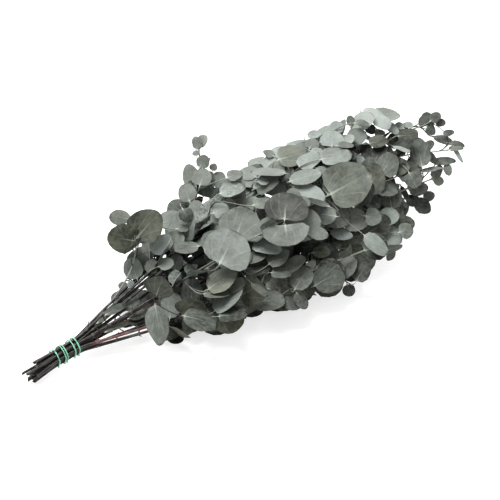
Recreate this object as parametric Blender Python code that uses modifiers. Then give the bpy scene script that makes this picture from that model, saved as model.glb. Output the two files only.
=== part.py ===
"""A tied bunch of round-leaved eucalyptus, lying on a flat surface.

Sixteen leafy stems are packed side by side where green twine binds them, near their cut ends. From there
they fan out into a long leafy head. The lowest two stems lie on the surface, with their last leaves
pressed flat against it. Each leafy stem is one solid: its bark, its side shoots and its leaves have grown
together. The twine is one solid too.

Units are metres. The bunch runs along X with its cut ends at -X. Z is up, and the surface is at Z = 0.
"""

import math
import random
from collections import namedtuple

import bmesh
import bpy
from mathutils import Matrix, Vector
from mathutils.bvhtree import BVHTree

# Where the bunch is bound
TIE_X = -0.236
TIE_HALF = 0.018
TIE_HEIGHT = 0.0180
TIE_SLOPE = 0.15
TWINE_RADIUS = 0.0010
TURN_PLACES = (-0.0145, -0.0060, -0.0034, 0.0072, 0.0128)
TURN_POINTS = 13
HIDDEN_SIDE = math.radians(-44)
SEAM = 0.0003

# The stems
CUT_SPLAY = 1.35
CUT_SHIFT = -0.002
CUT_DROOP = 0.15
STEEPEST_FAN = 0.38
FAN_PULL = 0.36
TIP_PULL = 0.34
ROUTE_POINTS = 9
STEM_SIDES_DETAIL = 1
SHOOT_SIDES_DETAIL = 0
TIP_RADIUS = 0.0008
SHOOT_RADIUS = 0.0010
HEAD_HEIGHT = 0.062
FAN_MIDDLE = 0.050
SWELL = 1.22

# The leaves
BLADE_THICKNESS = 0.0008
BLADE_CLEARANCE = 0.0005
NECK_LENGTH = 0.0034
NECK_HALF_WIDTH = 0.0007
FOLD = 0.16
POINTED = 0.05
PRESSED = 0.55
TILT = 0.20
PRESSED_BELOW = 0.0017
PRESSED_STAGGER = 0.0015
TRIES = 40

Stem = namedtuple("Stem", "name tip heading radius bare pairs leaf slim shoots")
STEMS = (
    Stem("stem_top_far", (0.226, 0.040, 0.120), (1, 0.10, 0.06), 0.0020, 0.44, 9, 0.038, 0.9, 1),
    Stem("stem_top_middle", (0.150, 0.040, 0.118), (1, 0.12, 0.06), 0.0019, 0.42, 8, 0.038, 0.9, 0),
    Stem("stem_top_back", (0.014, 0.097, 0.138), (0.05, 0.45, 0.80), 0.0016, 0.52, 8, 0.031, 0.8, 0),
    Stem("stem_near_left", (-0.114, 0.040, 0.104), (-0.10, 0.40, 0.9), 0.0013, 0.93, 2, 0.026, 0.9, 0),
    Stem("stem_front_high", (0.206, -0.036, 0.094), (1, -0.05, 0.0), 0.0021, 0.48, 8, 0.040, 0.9, 1),
    Stem("stem_front_big", (0.106, -0.036, 0.112), (1, 0.02, 0.06), 0.0020, 0.42, 4, 0.038, 0.9, 0),
    Stem("stem_front_middle", (0.120, -0.088, 0.058), (1, -0.12, 0.05), 0.0019, 0.44, 8, 0.040, 0.9, 1),
    Stem("stem_front_low", (0.094, -0.078, 0.028), (1, -0.15, -0.05), 0.0018, 0.44, 7, 0.038, 0.9, 0),
    Stem("stem_low_near", (0.052, -0.042, -0.0015), (1, -0.24, 0.0), 0.0018, 0.48, 6, 0.036, 0.9, 0),
    Stem("stem_right_low", (0.172, -0.064, 0.052), (1, -0.08, 0.05), 0.0019, 0.46, 8, 0.040, 0.9, 1),
    Stem("stem_far_high", (0.277, 0.010, 0.114), (1, -0.05, 0.15), 0.0018, 0.54, 8, 0.035, 0.8, 1),
    Stem("stem_far_middle", (0.283, -0.037, 0.098), (1, -0.35, -0.15), 0.0017, 0.56, 8, 0.034, 0.4, 0),
    Stem("stem_centre", (0.256, -0.040, 0.070), (1, -0.08, 0.0), 0.0024, 0.60, 7, 0.036, 0.6, 0),
    Stem("stem_back_middle", (0.160, 0.074, 0.082), (1, 0.12, 0.0), 0.0019, 0.42, 8, 0.040, 0.9, 0),
    Stem("stem_back_low", (0.080, 0.054, -0.0015), (1, 0.12, 0.0), 0.0018, 0.44, 6, 0.038, 0.9, 0),
    Stem("stem_back_far", (0.212, 0.050, 0.046), (1, 0.05, 0.0), 0.0018, 0.50, 7, 0.040, 0.9, 0),
)

Hero = namedtuple("Hero", "stem share midrib face length width")
HEROES = (
    Hero("stem_front_big", 0.605, (0.38, -0.42, 0.82), (-0.55, -0.60, 0.60), 0.046, 0.058),
    Hero("stem_front_big", 0.836, (0.66, 0.70, -0.02), (-0.20, -0.30, 0.90), 0.046, 0.052),
    Hero("stem_front_big", 0.840, (0.72, -0.66, -0.12), (-0.20, -0.45, 0.80), 0.044, 0.046),
    Hero("stem_front_big", 0.992, (0.89, -0.25, 0.37), (-0.42, -0.60, 0.68), 0.052, 0.054),
    Hero("stem_top_middle", 0.690, (-0.10, -0.92, -0.25), (-0.40, -0.50, 0.75), 0.049, 0.049),
    Hero("stem_near_left", 0.972, (0.55, -0.05, 0.50), (-0.45, -0.62, 0.64), 0.040, 0.040),
    Hero("stem_near_left", 0.966, (-0.83, 0.20, 0.42), (-0.45, -0.62, 0.64), 0.035, 0.034),
)

LEAF_COLOUR = (0.24, 0.29, 0.25)
TWINE_COLOUR = (0.13, 0.52, 0.33)


class Route:
    """A line of points with a radius at each: the run of a stem or of a side shoot."""

    def __init__(self, points, radii):
        self.points = points
        self.radii = radii
        steps = [(b - a).length for a, b in zip(points, points[1:])]
        self.along = [sum(steps[:i]) for i in range(len(points))]

    def at(self, share):
        """The place, heading and radius at a share of the route's length."""
        distance = share * self.along[-1]
        last = len(self.points) - 2
        i = next((k for k in range(last) if self.along[k + 1] >= distance), last)
        part = (distance - self.along[i]) / (self.along[i + 1] - self.along[i])
        place = self.points[i].lerp(self.points[i + 1], part)
        before = self.points[max(i - 1, 0)]
        after = self.points[min(i + 2, len(self.points) - 1)]
        radius = self.radii[i] + part * (self.radii[i + 1] - self.radii[i])
        return place, (after - before).normalized(), radius


def approach(stem):
    """The point that a stem bends towards before it turns to its tip."""
    tip = Vector(stem.tip)
    reach = tip.x - TIE_X
    return tip - Vector(stem.heading).normalized() * reach * TIP_PULL


def packed_places():
    """Where each stem runs through the binding: discs pulled together until they nearly touch."""
    radii = [stem.radius for stem in STEMS]
    places = []
    for stem in STEMS:
        ahead = approach(stem)
        slopes = Vector((ahead.y, ahead.z - FAN_MIDDLE)) / (ahead.x - TIE_X)
        places.append(slopes * 0.06)
    for step in range(700):
        if step < 500:
            places = [place * 0.985 for place in places]
        for i in range(len(places)):
            for j in range(i):
                apart = places[i] - places[j]
                overlap = radii[i] + radii[j] + SEAM * 1.2 - apart.length
                if overlap > 0:
                    push = apart.normalized() * overlap / 2
                    places[i] += push
                    places[j] -= push
    return places


def bezier(points, share):
    """The point at a share of a cubic curve through four control points."""
    a, b, c, d = points
    rest = 1 - share
    return (
        rest**3 * a + 3 * rest**2 * share * b + 3 * rest * share**2 * c + share**3 * d
    )


def stem_route(stem, place):
    """A stem's run: from its cut end, straight through the binding, and out along a curve to its tip."""
    draw = random.Random(stem.name)
    middle = Vector((TIE_X, place.x, TIE_HEIGHT + place.y))
    along = Vector((1, 0, TIE_SLOPE))
    low, high = middle - along * TIE_HALF, middle + along * TIE_HALF
    cut = middle - along * draw.uniform(0.036, 0.056)
    cut.y = place.x * CUT_SPLAY + CUT_SHIFT
    cut.z += place.y * CUT_DROOP
    tip = Vector(stem.tip)
    ahead = approach(stem)
    slopes = (ahead - high) * SWELL / (ahead.x - high.x)
    fan = Vector((1, slopes.y, min(slopes.z, STEEPEST_FAN))).normalized()
    reach = (tip - high).length
    control = (high, high + fan * reach * FAN_PULL, ahead, tip)
    curve = [bezier(control, k / ROUTE_POINTS) for k in range(1, ROUTE_POINTS + 1)]
    taper = [stem.radius] * 3
    for k, point in enumerate(curve):
        share = (k + 1) / ROUTE_POINTS
        taper.append(stem.radius + (TIP_RADIUS - stem.radius) * share**0.8)
        point.z = max(point.z, taper[-1] + SEAM)
    return Route([cut, low, high, *curve], taper)


def blade_outline(length, width, side_points):
    """A round leaf's outline from above, root first: a narrow neck, round sides and a slight point."""
    half = (length - NECK_LENGTH) / 2
    middle = NECK_LENGTH + half
    sides = []
    for k in range(1, side_points + 1):
        angle = math.pi * (k - 0.12) / (side_points + 0.42)
        sides.append((middle + half * math.cos(angle), width / 2 * math.sin(angle)))
    upper = [(NECK_LENGTH, NECK_HALF_WIDTH), *reversed(sides)]
    lower = [(x, -y) for x, y in reversed(upper)]
    tip = (length * (1 + POINTED), 0.0)
    return [(0.0, 0.0), *upper, tip, *lower], middle


def blade_points(leaf, grow=0.0):
    """The outline's points in the leaf's own axes, with the two halves folded up along the midrib."""
    outline, middle = blade_outline(leaf.length, leaf.width, leaf.side_points)
    share = 1 + 2 * grow / leaf.length
    flat = [(middle + (x - middle) * share, y * share) for x, y in outline]
    return [Vector((x, y, leaf.fold * abs(y))) for x, y in flat]


Leaf = namedtuple("Leaf", "matrix length width side_points fold")


def blade_shell(leaf, thickness, grow=0.0):
    """Points and faces of a leaf's closed surface, for finding what it would cross."""
    points = blade_points(leaf, grow)
    count = len(points)
    tip = count // 2
    lift = Vector((0, 0, thickness / 2))
    shell = [leaf.matrix @ (p + lift) for p in points]
    shell += [leaf.matrix @ (p - lift) for p in points]
    upper, lower = list(range(tip + 1)), [*range(tip, count), 0]
    faces = [upper, lower, [k + count for k in upper], [k + count for k in lower]]
    for k in range(count):
        after = (k + 1) % count
        faces.append((k, count + k, count + after, after))
    return shell, faces


def tube_shell(route, sides=6):
    """Points and faces round a route, for finding what it would cross."""
    points, faces = [], []
    for i, place in enumerate(route.points):
        before = route.points[max(i - 1, 0)]
        after = route.points[min(i + 1, len(route.points) - 1)]
        turn = (after - before).to_track_quat("Z", "Y")
        for k in range(sides):
            angle = 2 * math.pi * k / sides
            ring = Vector((math.cos(angle), math.sin(angle), 0)) * route.radii[i]
            points.append(place + turn @ ring)
    for i in range(len(route.points) - 1):
        for k in range(sides):
            a, b = i * sides + k, i * sides + (k + 1) % sides
            faces.append((a, b, b + sides, a + sides))
    return points, faces


class Bunch:
    """What has been placed so far, so that the next leaf or shoot can be bent clear of it."""

    def __init__(self):
        self.placed = []

    def add(self, owner, group, shell):
        """Keeps a placed surface, with the node that it belongs to and the site that it grows from."""
        points, faces = shell
        low = Vector([min(p[k] for p in points) for k in range(3)])
        high = Vector([max(p[k] for p in points) for k in range(3)])
        tree = BVHTree.FromPolygons(points, faces)
        self.placed.append((owner, group, low, high, tree))

    def clear(self, group, shell, own_stem, floor=SEAM):
        """True if the surface lies over the floor and crosses nothing but what grows from its own site."""
        points, faces = shell
        low = Vector([min(p[k] for p in points) for k in range(3)])
        high = Vector([max(p[k] for p in points) for k in range(3)])
        if low.z < floor:
            return False
        tree = BVHTree.FromPolygons(points, faces)
        for owner, other_group, other_low, other_high, other in self.placed:
            if other_group == group or other_group == own_stem:
                continue
            if any(low[k] > other_high[k] or high[k] < other_low[k] for k in range(3)):
                continue
            if tree.overlap(other):
                return False
        return True


def outward(place):
    """The way out of the leafy head at a place, across the bunch."""
    away = Vector((0, place.y * 0.8, place.z - HEAD_HEIGHT))
    return away.normalized() if away.length > 0.004 else Vector((0, -0.6, 0.8))


def lying_face(out):
    """The way a blade's face looks once the bunch has settled: mostly upwards, a little outwards."""
    return out * 0.42 + Vector((-0.20, -0.24, 0.80))


def leaf_matrix(root, midrib, face):
    """Axes of a leaf: X along its midrib, Z the way its face looks."""
    across = face.cross(midrib).normalized()
    up = midrib.cross(across)
    return Matrix.Translation(root) @ Matrix((midrib, across, up)).transposed().to_4x4()


def side_points_for(length):
    """Points on each side of the outline, between neck and tip: larger leaves take more."""
    if length > 0.044:
        return 4
    return 3 if length > 0.027 else 2


def pressed_leaf(site, side, heading, length, draw):
    """A leaf that the bunch's weight holds flat on the surface."""
    along = Vector((heading.x, heading.y, 0)).normalized()
    across = Vector((-along.y, along.x, 0)) * side
    lean = math.radians(draw.uniform(52, 72))
    midrib = (along * math.cos(lean) + across * math.sin(lean)).normalized()
    root = site + along * side * PRESSED_STAGGER
    root.z = BLADE_THICKNESS / 2
    matrix = leaf_matrix(root, midrib, Vector((0, 0, 1)))
    return Leaf(matrix, length, length * 0.94, side_points_for(length), 0.0)


def leaf_try(site, heading, pair, side, length, slim, closed, attempt, draw):
    """One way for a leaf to stand: pairs alternate between spreading sideways and pointing in and out."""
    loose = 1 + attempt * 0.09
    out = outward(site)
    out = (out - heading * out.dot(heading)).normalized()
    sideways = heading.cross(out)
    turn = math.radians((pair % 2) * 90 + draw.uniform(-24, 24) * loose)
    spread = (sideways * math.cos(turn) + out * math.sin(turn) * PRESSED) * side
    lean = math.radians(closed * draw.uniform(46, 72) + draw.uniform(-6, 6) * loose)
    midrib = (heading * math.cos(lean) + spread * math.sin(lean)).normalized()
    tilt = Vector([draw.gauss(0, TILT * loose) for _ in range(3)])
    face = lying_face(out) + tilt
    length *= 0.985**attempt
    width = length * slim * draw.uniform(0.93, 1.05)
    matrix = leaf_matrix(site, midrib, face)
    fold = FOLD * draw.uniform(0.2, 1.3)
    return Leaf(matrix, length, width, side_points_for(length), fold)


def grow_pair(bunch, name, site, heading, pair, length, slim, closed, leaves):
    """Places the two opposite leaves of one joint, each in the first way that is clear."""
    group = f"{name}/{pair}"
    for side in (1, -1):
        draw = random.Random(f"{group}/{side}")
        size = length * draw.uniform(0.88, 1.10)
        pressed = site.z < PRESSED_BELOW
        floor = -BLADE_THICKNESS if pressed else SEAM
        for attempt in range(TRIES):
            if pressed:
                leaf = pressed_leaf(site, side, heading, size * 0.97**attempt, draw)
            else:
                leaf = leaf_try(site, heading, pair, side, size, slim, closed, attempt, draw)
            room = BLADE_THICKNESS + 2 * BLADE_CLEARANCE
            if bunch.clear(group, blade_shell(leaf, room, BLADE_CLEARANCE), name, floor):
                leaves.append(leaf)
                bunch.add(name, group, blade_shell(leaf, BLADE_THICKNESS))
                break


def shoot_route(site, heading, length, attempt, draw):
    """A side shoot's run: out of the stem, then bending forwards."""
    out = outward(site)
    out = (out - heading * out.dot(heading)).normalized()
    turn = draw.uniform(-0.9, 0.9) * (1 + attempt * 0.1)
    spread = out * math.cos(turn) + heading.cross(out) * math.sin(turn)
    first = (heading * 0.75 + spread * 0.65).normalized()
    last = (heading * 0.95 + spread * 0.30).normalized()
    points = [site]
    for k in range(4):
        points.append(points[-1] + first.lerp(last, k / 3).normalized() * length / 4)
    radii = [SHOOT_RADIUS + (TIP_RADIUS - SHOOT_RADIUS) * k / 4 for k in range(5)]
    return Route(points, radii)


def grow_shoot(bunch, stem, route, number, leaves):
    """Adds one side shoot with its leaf pairs. Returns its route, or None where no way is clear."""
    draw = random.Random(f"{stem.name}/shoot{number}")
    share = stem.bare + (0.86 - stem.bare) * (number + draw.uniform(0.3, 0.7)) / stem.shoots
    site, heading, _ = route.at(share)
    length = draw.uniform(0.055, 0.080)
    group = f"{stem.name}/shoot{number}"
    for attempt in range(TRIES):
        shoot = shoot_route(site, heading, length * 0.985**attempt, attempt, draw)
        if bunch.clear(group, tube_shell(shoot), stem.name):
            bunch.add(stem.name, stem.name, tube_shell(shoot))
            for pair, part in enumerate((0.50, 0.78, 0.985)):
                place, way, _ = shoot.at(part)
                size = stem.leaf * (0.84 - 0.12 * pair)
                closed = 0.55 if pair == 2 else 1.0
                number_of_pair = 10 * (number + 1) + pair
                grow_pair(bunch, stem.name, place, way, number_of_pair, size, 0.9, closed, leaves)
            return shoot
    return None


def leaf_sites(stem):
    """Shares of the route where leaf pairs grow, closer together towards the tip."""
    return [
        stem.bare + (0.988 - stem.bare) * (k / (stem.pairs - 1)) ** 0.94
        for k in range(stem.pairs)
    ]


def place_heroes(bunch, routes):
    """Places the largest leaves of the head. Returns a list of leaves for each stem's name."""
    found = {name: [] for name in routes}
    for number, hero in enumerate(HEROES):
        site = routes[hero.stem].at(hero.share)[0]
        midrib = Vector(hero.midrib).normalized()
        matrix = leaf_matrix(site, midrib, Vector(hero.face))
        leaf = Leaf(matrix, hero.length, hero.width, side_points_for(hero.length), FOLD * 0.6)
        found[hero.stem].append(leaf)
        bunch.add(hero.stem, f"{hero.stem}/hero{number}", blade_shell(leaf, BLADE_THICKNESS))
    return found


def grow_stem(bunch, stem, route, heroes):
    """Places a stem's leaves and side shoots. Returns its leaves and the shoots' routes."""
    leaves, shoots = list(heroes), []
    sites = leaf_sites(stem)
    for pair, share in enumerate(sites):
        site, heading, _ = route.at(share)
        ripe = pair / (len(sites) - 1)
        size = stem.leaf * (1 - (0.20 if stem.slim > 0.85 else 0.45) * ripe**4)
        slim = 1.0 + (stem.slim - 1.0) * ripe**1.5
        closed = 1.0 - 0.45 * ripe**3
        grow_pair(bunch, stem.name, site, heading, pair, size, slim, closed, leaves)
    for number in range(stem.shoots):
        shoot = grow_shoot(bunch, stem, route, number, leaves)
        if shoot:
            shoots.append(shoot)
    return leaves, shoots


def material(name, colour, roughness):
    """A plain finish."""
    made = bpy.data.materials.new(name)
    made.use_nodes = True
    shader = made.node_tree.nodes["Principled BSDF"]
    shader.inputs["Base Color"].default_value = (*colour, 1)
    shader.inputs["Roughness"].default_value = roughness
    return made


def welded_tube(name, route, detail, collection):
    """A mesh tube along a route, thinner towards its end, with welded caps."""
    curve = bpy.data.curves.new(name, "CURVE")
    curve.dimensions = "3D"
    curve.bevel_depth = 1.0
    curve.bevel_resolution = detail
    curve.use_fill_caps = True
    spline = curve.splines.new("POLY")
    spline.points.add(len(route.points) - 1)
    for point, place, radius in zip(spline.points, route.points, route.radii):
        point.co = (*place, 1)
        point.radius = radius
    guide = bpy.data.objects.new(name + "_guide", curve)
    collection.objects.link(guide)
    graph = bpy.context.evaluated_depsgraph_get()
    mesh = bpy.data.meshes.new_from_object(guide.evaluated_get(graph))
    bpy.data.objects.remove(guide)
    shape = bmesh.new()
    shape.from_mesh(mesh)
    bmesh.ops.remove_doubles(shape, verts=shape.verts, dist=1e-6)
    shape.to_mesh(mesh)
    shape.free()
    tube = bpy.data.objects.new(name, mesh)
    collection.objects.link(tube)
    return tube


def blade_object(name, leaf, collection):
    """One leaf: a disc creased along its midrib, shaped to the leaf's outline and given its thickness."""
    mesh = bpy.data.meshes.new(name)
    shape = bmesh.new()
    points = blade_points(leaf)
    bmesh.ops.create_circle(shape, cap_ends=True, segments=len(points), radius=leaf.length)
    rim = sorted(shape.verts, key=lambda v: round(math.atan2(v.co.y, v.co.x), 3) % (2 * math.pi))
    bmesh.ops.connect_verts(shape, verts=[rim[0], rim[len(points) // 2]])
    for vertex, point in zip(rim, points):
        vertex.co = point
    bmesh.ops.recalc_face_normals(shape, faces=shape.faces)
    shape.to_mesh(mesh)
    shape.free()
    blade = bpy.data.objects.new(name, mesh)
    blade.matrix_world = leaf.matrix
    collection.objects.link(blade)
    thickness = blade.modifiers.new("thickness", "SOLIDIFY")
    thickness.thickness = BLADE_THICKNESS
    thickness.offset = 0
    return blade


def joined(base, pieces):
    """Fuses the pieces to the base with one Boolean, and removes them."""
    join = base.modifiers.new("join", "BOOLEAN")
    join.operation = "UNION"
    join.operand_type = "COLLECTION"
    join.collection = pieces
    join.solver = "MANIFOLD"
    graph = bpy.context.evaluated_depsgraph_get()
    mesh = bpy.data.meshes.new_from_object(base.evaluated_get(graph))
    base.modifiers.clear()
    base.data = mesh
    for piece in list(pieces.objects):
        bpy.data.objects.remove(piece)
    bpy.data.collections.remove(pieces)


def build_stem(stem, route, leaves, shoots, collection, leaf_finish):
    """One leafy stem as one solid."""
    tube = welded_tube(stem.name, route, STEM_SIDES_DETAIL, collection)
    pieces = bpy.data.collections.new(stem.name + "_pieces")
    bpy.context.scene.collection.children.link(pieces)
    for k, shoot in enumerate(shoots):
        welded_tube(f"{stem.name}_shoot_{k}", shoot, SHOOT_SIDES_DETAIL, pieces)
    for k, leaf in enumerate(leaves):
        blade_object(f"{stem.name}_leaf_{k}", leaf, pieces)
    joined(tube, pieces)
    tube.data.materials.clear()
    tube.data.materials.append(leaf_finish)
    return tube


def taut_corner(places, angle, turn):
    """Where the taut twine bends between two angles: it just clears every stem that it binds."""
    reach = []
    for facing in (angle, angle + turn):
        way = Vector((math.cos(facing), math.sin(facing)))
        support = max(place.dot(way) + stem.radius for place, stem in zip(places, STEMS))
        reach.append(support + SEAM + TWINE_RADIUS)
    across = reach[0] * math.sin(angle + turn) - reach[1] * math.sin(angle)
    up = reach[1] * math.cos(angle) - reach[0] * math.cos(angle + turn)
    return across / math.sin(turn), up / math.sin(turn)


def twine_route(places):
    """The twine's run: level turns in front, with the step to the next turn made on the hidden side."""
    points = []
    turns = len(TURN_PLACES)
    for k in range(turns * TURN_POINTS - 1):
        turn, part = divmod(k, TURN_POINTS)
        part /= TURN_POINTS
        step = max(0.0, (part - 0.72) / 0.28)
        after = TURN_PLACES[min(turn + 1, turns - 1)]
        ease = step * step * (3 - 2 * step)
        x = TURN_PLACES[turn] + (after - TURN_PLACES[turn]) * ease
        angle = HIDDEN_SIDE + 2 * math.pi * part
        across, up = taut_corner(places, angle, 2 * math.pi / TURN_POINTS)
        points.append(Vector((TIE_X + x, across, TIE_HEIGHT + TIE_SLOPE * x + up)))
    return Route(points, [TWINE_RADIUS] * len(points))


def main():
    for item in list(bpy.data.objects):
        bpy.data.objects.remove(item)
    collection = bpy.data.collections.new("eucalyptus_bunch")
    bpy.context.scene.collection.children.link(collection)
    places = packed_places()
    routes = {stem.name: stem_route(stem, place) for stem, place in zip(STEMS, places)}
    bunch = Bunch()
    for name, route in routes.items():
        bunch.add(name, name, tube_shell(route))
    bunch.add("twine", "twine", tube_shell(twine_route(places)))
    leaf_finish = material("leaf", LEAF_COLOUR, 0.6)
    twine_finish = material("twine", TWINE_COLOUR, 0.4)
    heroes = place_heroes(bunch, routes)
    for stem in STEMS:
        leaves, shoots = grow_stem(bunch, stem, routes[stem.name], heroes[stem.name])
        build_stem(stem, routes[stem.name], leaves, shoots, collection, leaf_finish)
    twine = welded_tube("twine", twine_route(places), STEM_SIDES_DETAIL, collection)
    twine.data.materials.clear()
    twine.data.materials.append(twine_finish)


main()
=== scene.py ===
"""Looks for a tied bunch of round-leaved eucalyptus, lying on a pale floor.

The runs of the stems and the places of the leaves follow from the same sizes and seeded draws as the frame's
solids. Each leafy stem is shown here by its fine bark and its fine leaves, and the twine by two plies.

Units are metres. The bunch runs along X with its cut ends at -X. Z is up, and the floor is at Z = 0.
"""

from __future__ import annotations

import logging
from collections.abc import Callable, Iterable, Iterator
from contextlib import contextmanager
from dataclasses import dataclass, field, replace
from enum import Enum
from math import cos, exp, pi, radians, sin, sqrt, tan
from random import Random

import bmesh
import bpy
import numpy as np
from mathutils import Matrix, Vector
from mathutils.bvhtree import BVHTree

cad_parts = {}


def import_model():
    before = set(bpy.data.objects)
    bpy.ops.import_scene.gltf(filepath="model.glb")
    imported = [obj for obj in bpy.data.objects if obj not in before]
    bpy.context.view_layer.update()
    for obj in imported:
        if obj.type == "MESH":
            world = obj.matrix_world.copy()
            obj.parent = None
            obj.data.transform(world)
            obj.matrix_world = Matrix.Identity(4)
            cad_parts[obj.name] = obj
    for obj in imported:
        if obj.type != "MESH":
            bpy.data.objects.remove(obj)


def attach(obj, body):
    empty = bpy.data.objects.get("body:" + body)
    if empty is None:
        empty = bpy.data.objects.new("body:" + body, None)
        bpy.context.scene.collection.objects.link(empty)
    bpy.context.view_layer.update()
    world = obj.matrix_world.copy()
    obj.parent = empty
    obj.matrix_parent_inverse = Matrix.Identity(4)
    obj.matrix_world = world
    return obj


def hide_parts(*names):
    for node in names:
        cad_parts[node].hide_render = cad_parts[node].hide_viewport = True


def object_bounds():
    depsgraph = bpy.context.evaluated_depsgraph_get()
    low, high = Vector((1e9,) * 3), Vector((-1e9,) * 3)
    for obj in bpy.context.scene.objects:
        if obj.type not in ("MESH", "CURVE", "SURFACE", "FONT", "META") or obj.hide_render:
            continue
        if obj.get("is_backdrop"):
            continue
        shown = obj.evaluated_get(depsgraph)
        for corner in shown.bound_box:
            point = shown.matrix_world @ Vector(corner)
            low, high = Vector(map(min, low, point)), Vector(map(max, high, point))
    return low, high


log = logging.getLogger("eucalyptus")

Pair = tuple[float, float]
Triple = tuple[float, float, float]
Shell = tuple[list[Vector], list[tuple[int, ...]]]
Piece = bpy.types.Object
Mesh = bpy.types.Mesh
Material = bpy.types.Material
Socket = bpy.types.NodeSocket

SEAM = 0.0003
# Painted shade: how much darker the undergrowth's leaves are, as leaves deep in the head look in shadow
INNER_PAINTED_SHADE = 0.08
PRESSED_FLOOR = -0.001
ROOM_PAST_SOLIDS = (0.006, 0.006, 0.007)


def around(axis: Vector, side: Vector, angle: float) -> Vector:
    """The way that a side takes once it has turned round an axis square to it."""
    return side * cos(angle) + axis.cross(side) * sin(angle)


class BarkKind(Enum):
    """The barks that the bunch shows."""

    DARK = 0.0
    BROWN = 0.20
    MAROON = 1.0


@dataclass(frozen=True)
class Stem:
    """One leafy stem: where it ends, how thick it is, what grows on it and how pale its leaves are."""

    name: str
    tip: Triple
    heading: Triple
    radius: float
    bare: float
    pairs: int
    leaf: float
    slim: float
    shoots: int
    sprigs: int
    paleness: float
    olive: float
    bark: BarkKind
    slimming: float = 1.5

    def slimness(self, ripe: float) -> float:
        """The width over the length of the leaves, at a share of the leafy part from its start to the tip."""
        return 1.0 + (self.slim - 1.0) * ripe**self.slimming


@dataclass(frozen=True)
class Hero:
    """One of the largest leaves, placed on a stem at a given share."""

    stem: str
    share: float
    midrib: Triple
    face: Triple
    length: float
    width: float
    paleness: float
    olive: float
    in_front: bool = False


DARK, BROWN, MAROON = BarkKind.DARK, BarkKind.BROWN, BarkKind.MAROON
# The low stems' leaves are less pale partly as painted shade, since they lie under the head
STEMS = (
    Stem("stem_top_far", (0.226, 0.040, 0.120), (1, 0.10, 0.06), 0.0020, 0.44,
         9, 0.038, 0.9, 1, 4, 0.76, 0.30, DARK),
    Stem("stem_top_middle", (0.150, 0.040, 0.118), (1, 0.12, 0.06), 0.0019, 0.42,
         8, 0.038, 0.9, 0, 2, 0.76, 0.10, DARK),
    Stem("stem_top_back", (0.014, 0.097, 0.138), (0.05, 0.45, 0.80), 0.0016, 0.52,
         8, 0.031, 0.8, 0, 2, 0.56, 0.10, DARK),
    Stem("stem_near_left", (-0.114, 0.040, 0.104), (-0.10, 0.40, 0.9), 0.0013, 0.93,
         2, 0.026, 0.9, 0, 1, 0.26, 0.70, DARK),
    Stem("stem_front_high", (0.206, -0.036, 0.094), (1, -0.05, 0.0), 0.0021, 0.48,
         8, 0.040, 0.9, 1, 3, 0.58, 0.15, BROWN),
    Stem("stem_front_big", (0.106, -0.036, 0.112), (1, 0.02, 0.06), 0.0020, 0.42,
         4, 0.038, 0.9, 0, 2, 0.60, 0.05, DARK),
    Stem("stem_front_middle", (0.120, -0.088, 0.058), (1, -0.12, 0.05), 0.0019, 0.44,
         8, 0.040, 0.9, 1, 2, 0.26, 0.30, MAROON),
    Stem("stem_front_low", (0.094, -0.078, 0.028), (1, -0.15, -0.05), 0.0018, 0.44,
         7, 0.038, 0.9, 0, 3, 0.22, 0.30, BROWN),
    Stem("stem_low_near", (0.052, -0.042, -0.0015), (1, -0.24, 0.0), 0.0018, 0.48,
         6, 0.036, 0.9, 0, 3, 0.20, 0.30, DARK),
    Stem("stem_right_low", (0.172, -0.064, 0.052), (1, -0.08, 0.05), 0.0019, 0.46,
         8, 0.040, 0.9, 1, 3, 0.30, 0.20, DARK),
    Stem("stem_far_high", (0.277, 0.010, 0.114), (1, -0.05, 0.15), 0.0018, 0.54,
         8, 0.035, 0.8, 1, 2, 0.28, 0.20, DARK),
    Stem("stem_far_middle", (0.283, -0.037, 0.098), (1, -0.35, -0.15), 0.0017, 0.56,
         8, 0.034, 0.4, 0, 2, 0.20, 0.10, DARK),
    Stem("stem_centre", (0.256, -0.040, 0.070), (1, -0.08, 0.0), 0.0024, 0.60,
         7, 0.036, 0.6, 0, 3, 0.32, 0.20, MAROON),
    Stem("stem_back_middle", (0.160, 0.074, 0.082), (1, 0.12, 0.0), 0.0019, 0.42,
         8, 0.040, 0.9, 0, 3, 0.54, 0.20, DARK),
    Stem("stem_back_low", (0.080, 0.054, -0.0015), (1, 0.12, 0.0), 0.0018, 0.44,
         6, 0.038, 0.9, 0, 3, 0.30, 0.25, BROWN),
    Stem("stem_back_far", (0.212, 0.050, 0.046), (1, 0.05, 0.0), 0.0018, 0.50,
         7, 0.040, 0.9, 0, 3, 0.38, 0.15, DARK),
)

HEROES = (
    Hero("stem_front_big", 0.605, (0.38, -0.42, 0.82), (-0.55, -0.60, 0.60), 0.046, 0.058, 0.62, 0.0),
    Hero("stem_front_big", 0.836, (0.66, 0.70, -0.02), (-0.20, -0.30, 0.90), 0.046, 0.052, 0.50, 0.1),
    Hero("stem_front_big", 0.840, (0.72, -0.66, -0.12), (-0.20, -0.45, 0.80), 0.044, 0.046, 0.40, 0.1),
    Hero("stem_front_big", 0.992, (0.89, -0.25, 0.37), (-0.42, -0.60, 0.68), 0.052, 0.054, 0.28, 0.3, True),
    Hero("stem_top_middle", 0.690, (-0.10, -0.92, -0.25), (-0.40, -0.50, 0.75), 0.049, 0.049, 0.58, 0.4),
    Hero("stem_near_left", 0.972, (0.55, -0.05, 0.50), (-0.45, -0.62, 0.64), 0.040, 0.040, 0.10, 0.5, True),
    Hero("stem_near_left", 0.966, (-0.83, 0.20, 0.42), (-0.45, -0.62, 0.64), 0.035, 0.034, 0.08, 0.5, True),
)


@dataclass(frozen=True)
class Shown:
    """One leaf that shows in front: its middle, heading in degrees and size, in pixels of the photograph.

    Lie is 0 where it looks at the camera, 1 where it lies level, more where it tips on. Lean turns it right.
    """

    x: float
    y: float
    heading: float
    length: float
    width: float
    lie: float
    paleness: float
    lean: float = 0.0
    olive: float = 0.0
    crinkle: float = 0.0


# Each paleness is the tone that the leaf shows, so leaves in shadow, as on the shaded lower side, hold
# painted shade besides their own tone
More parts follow.
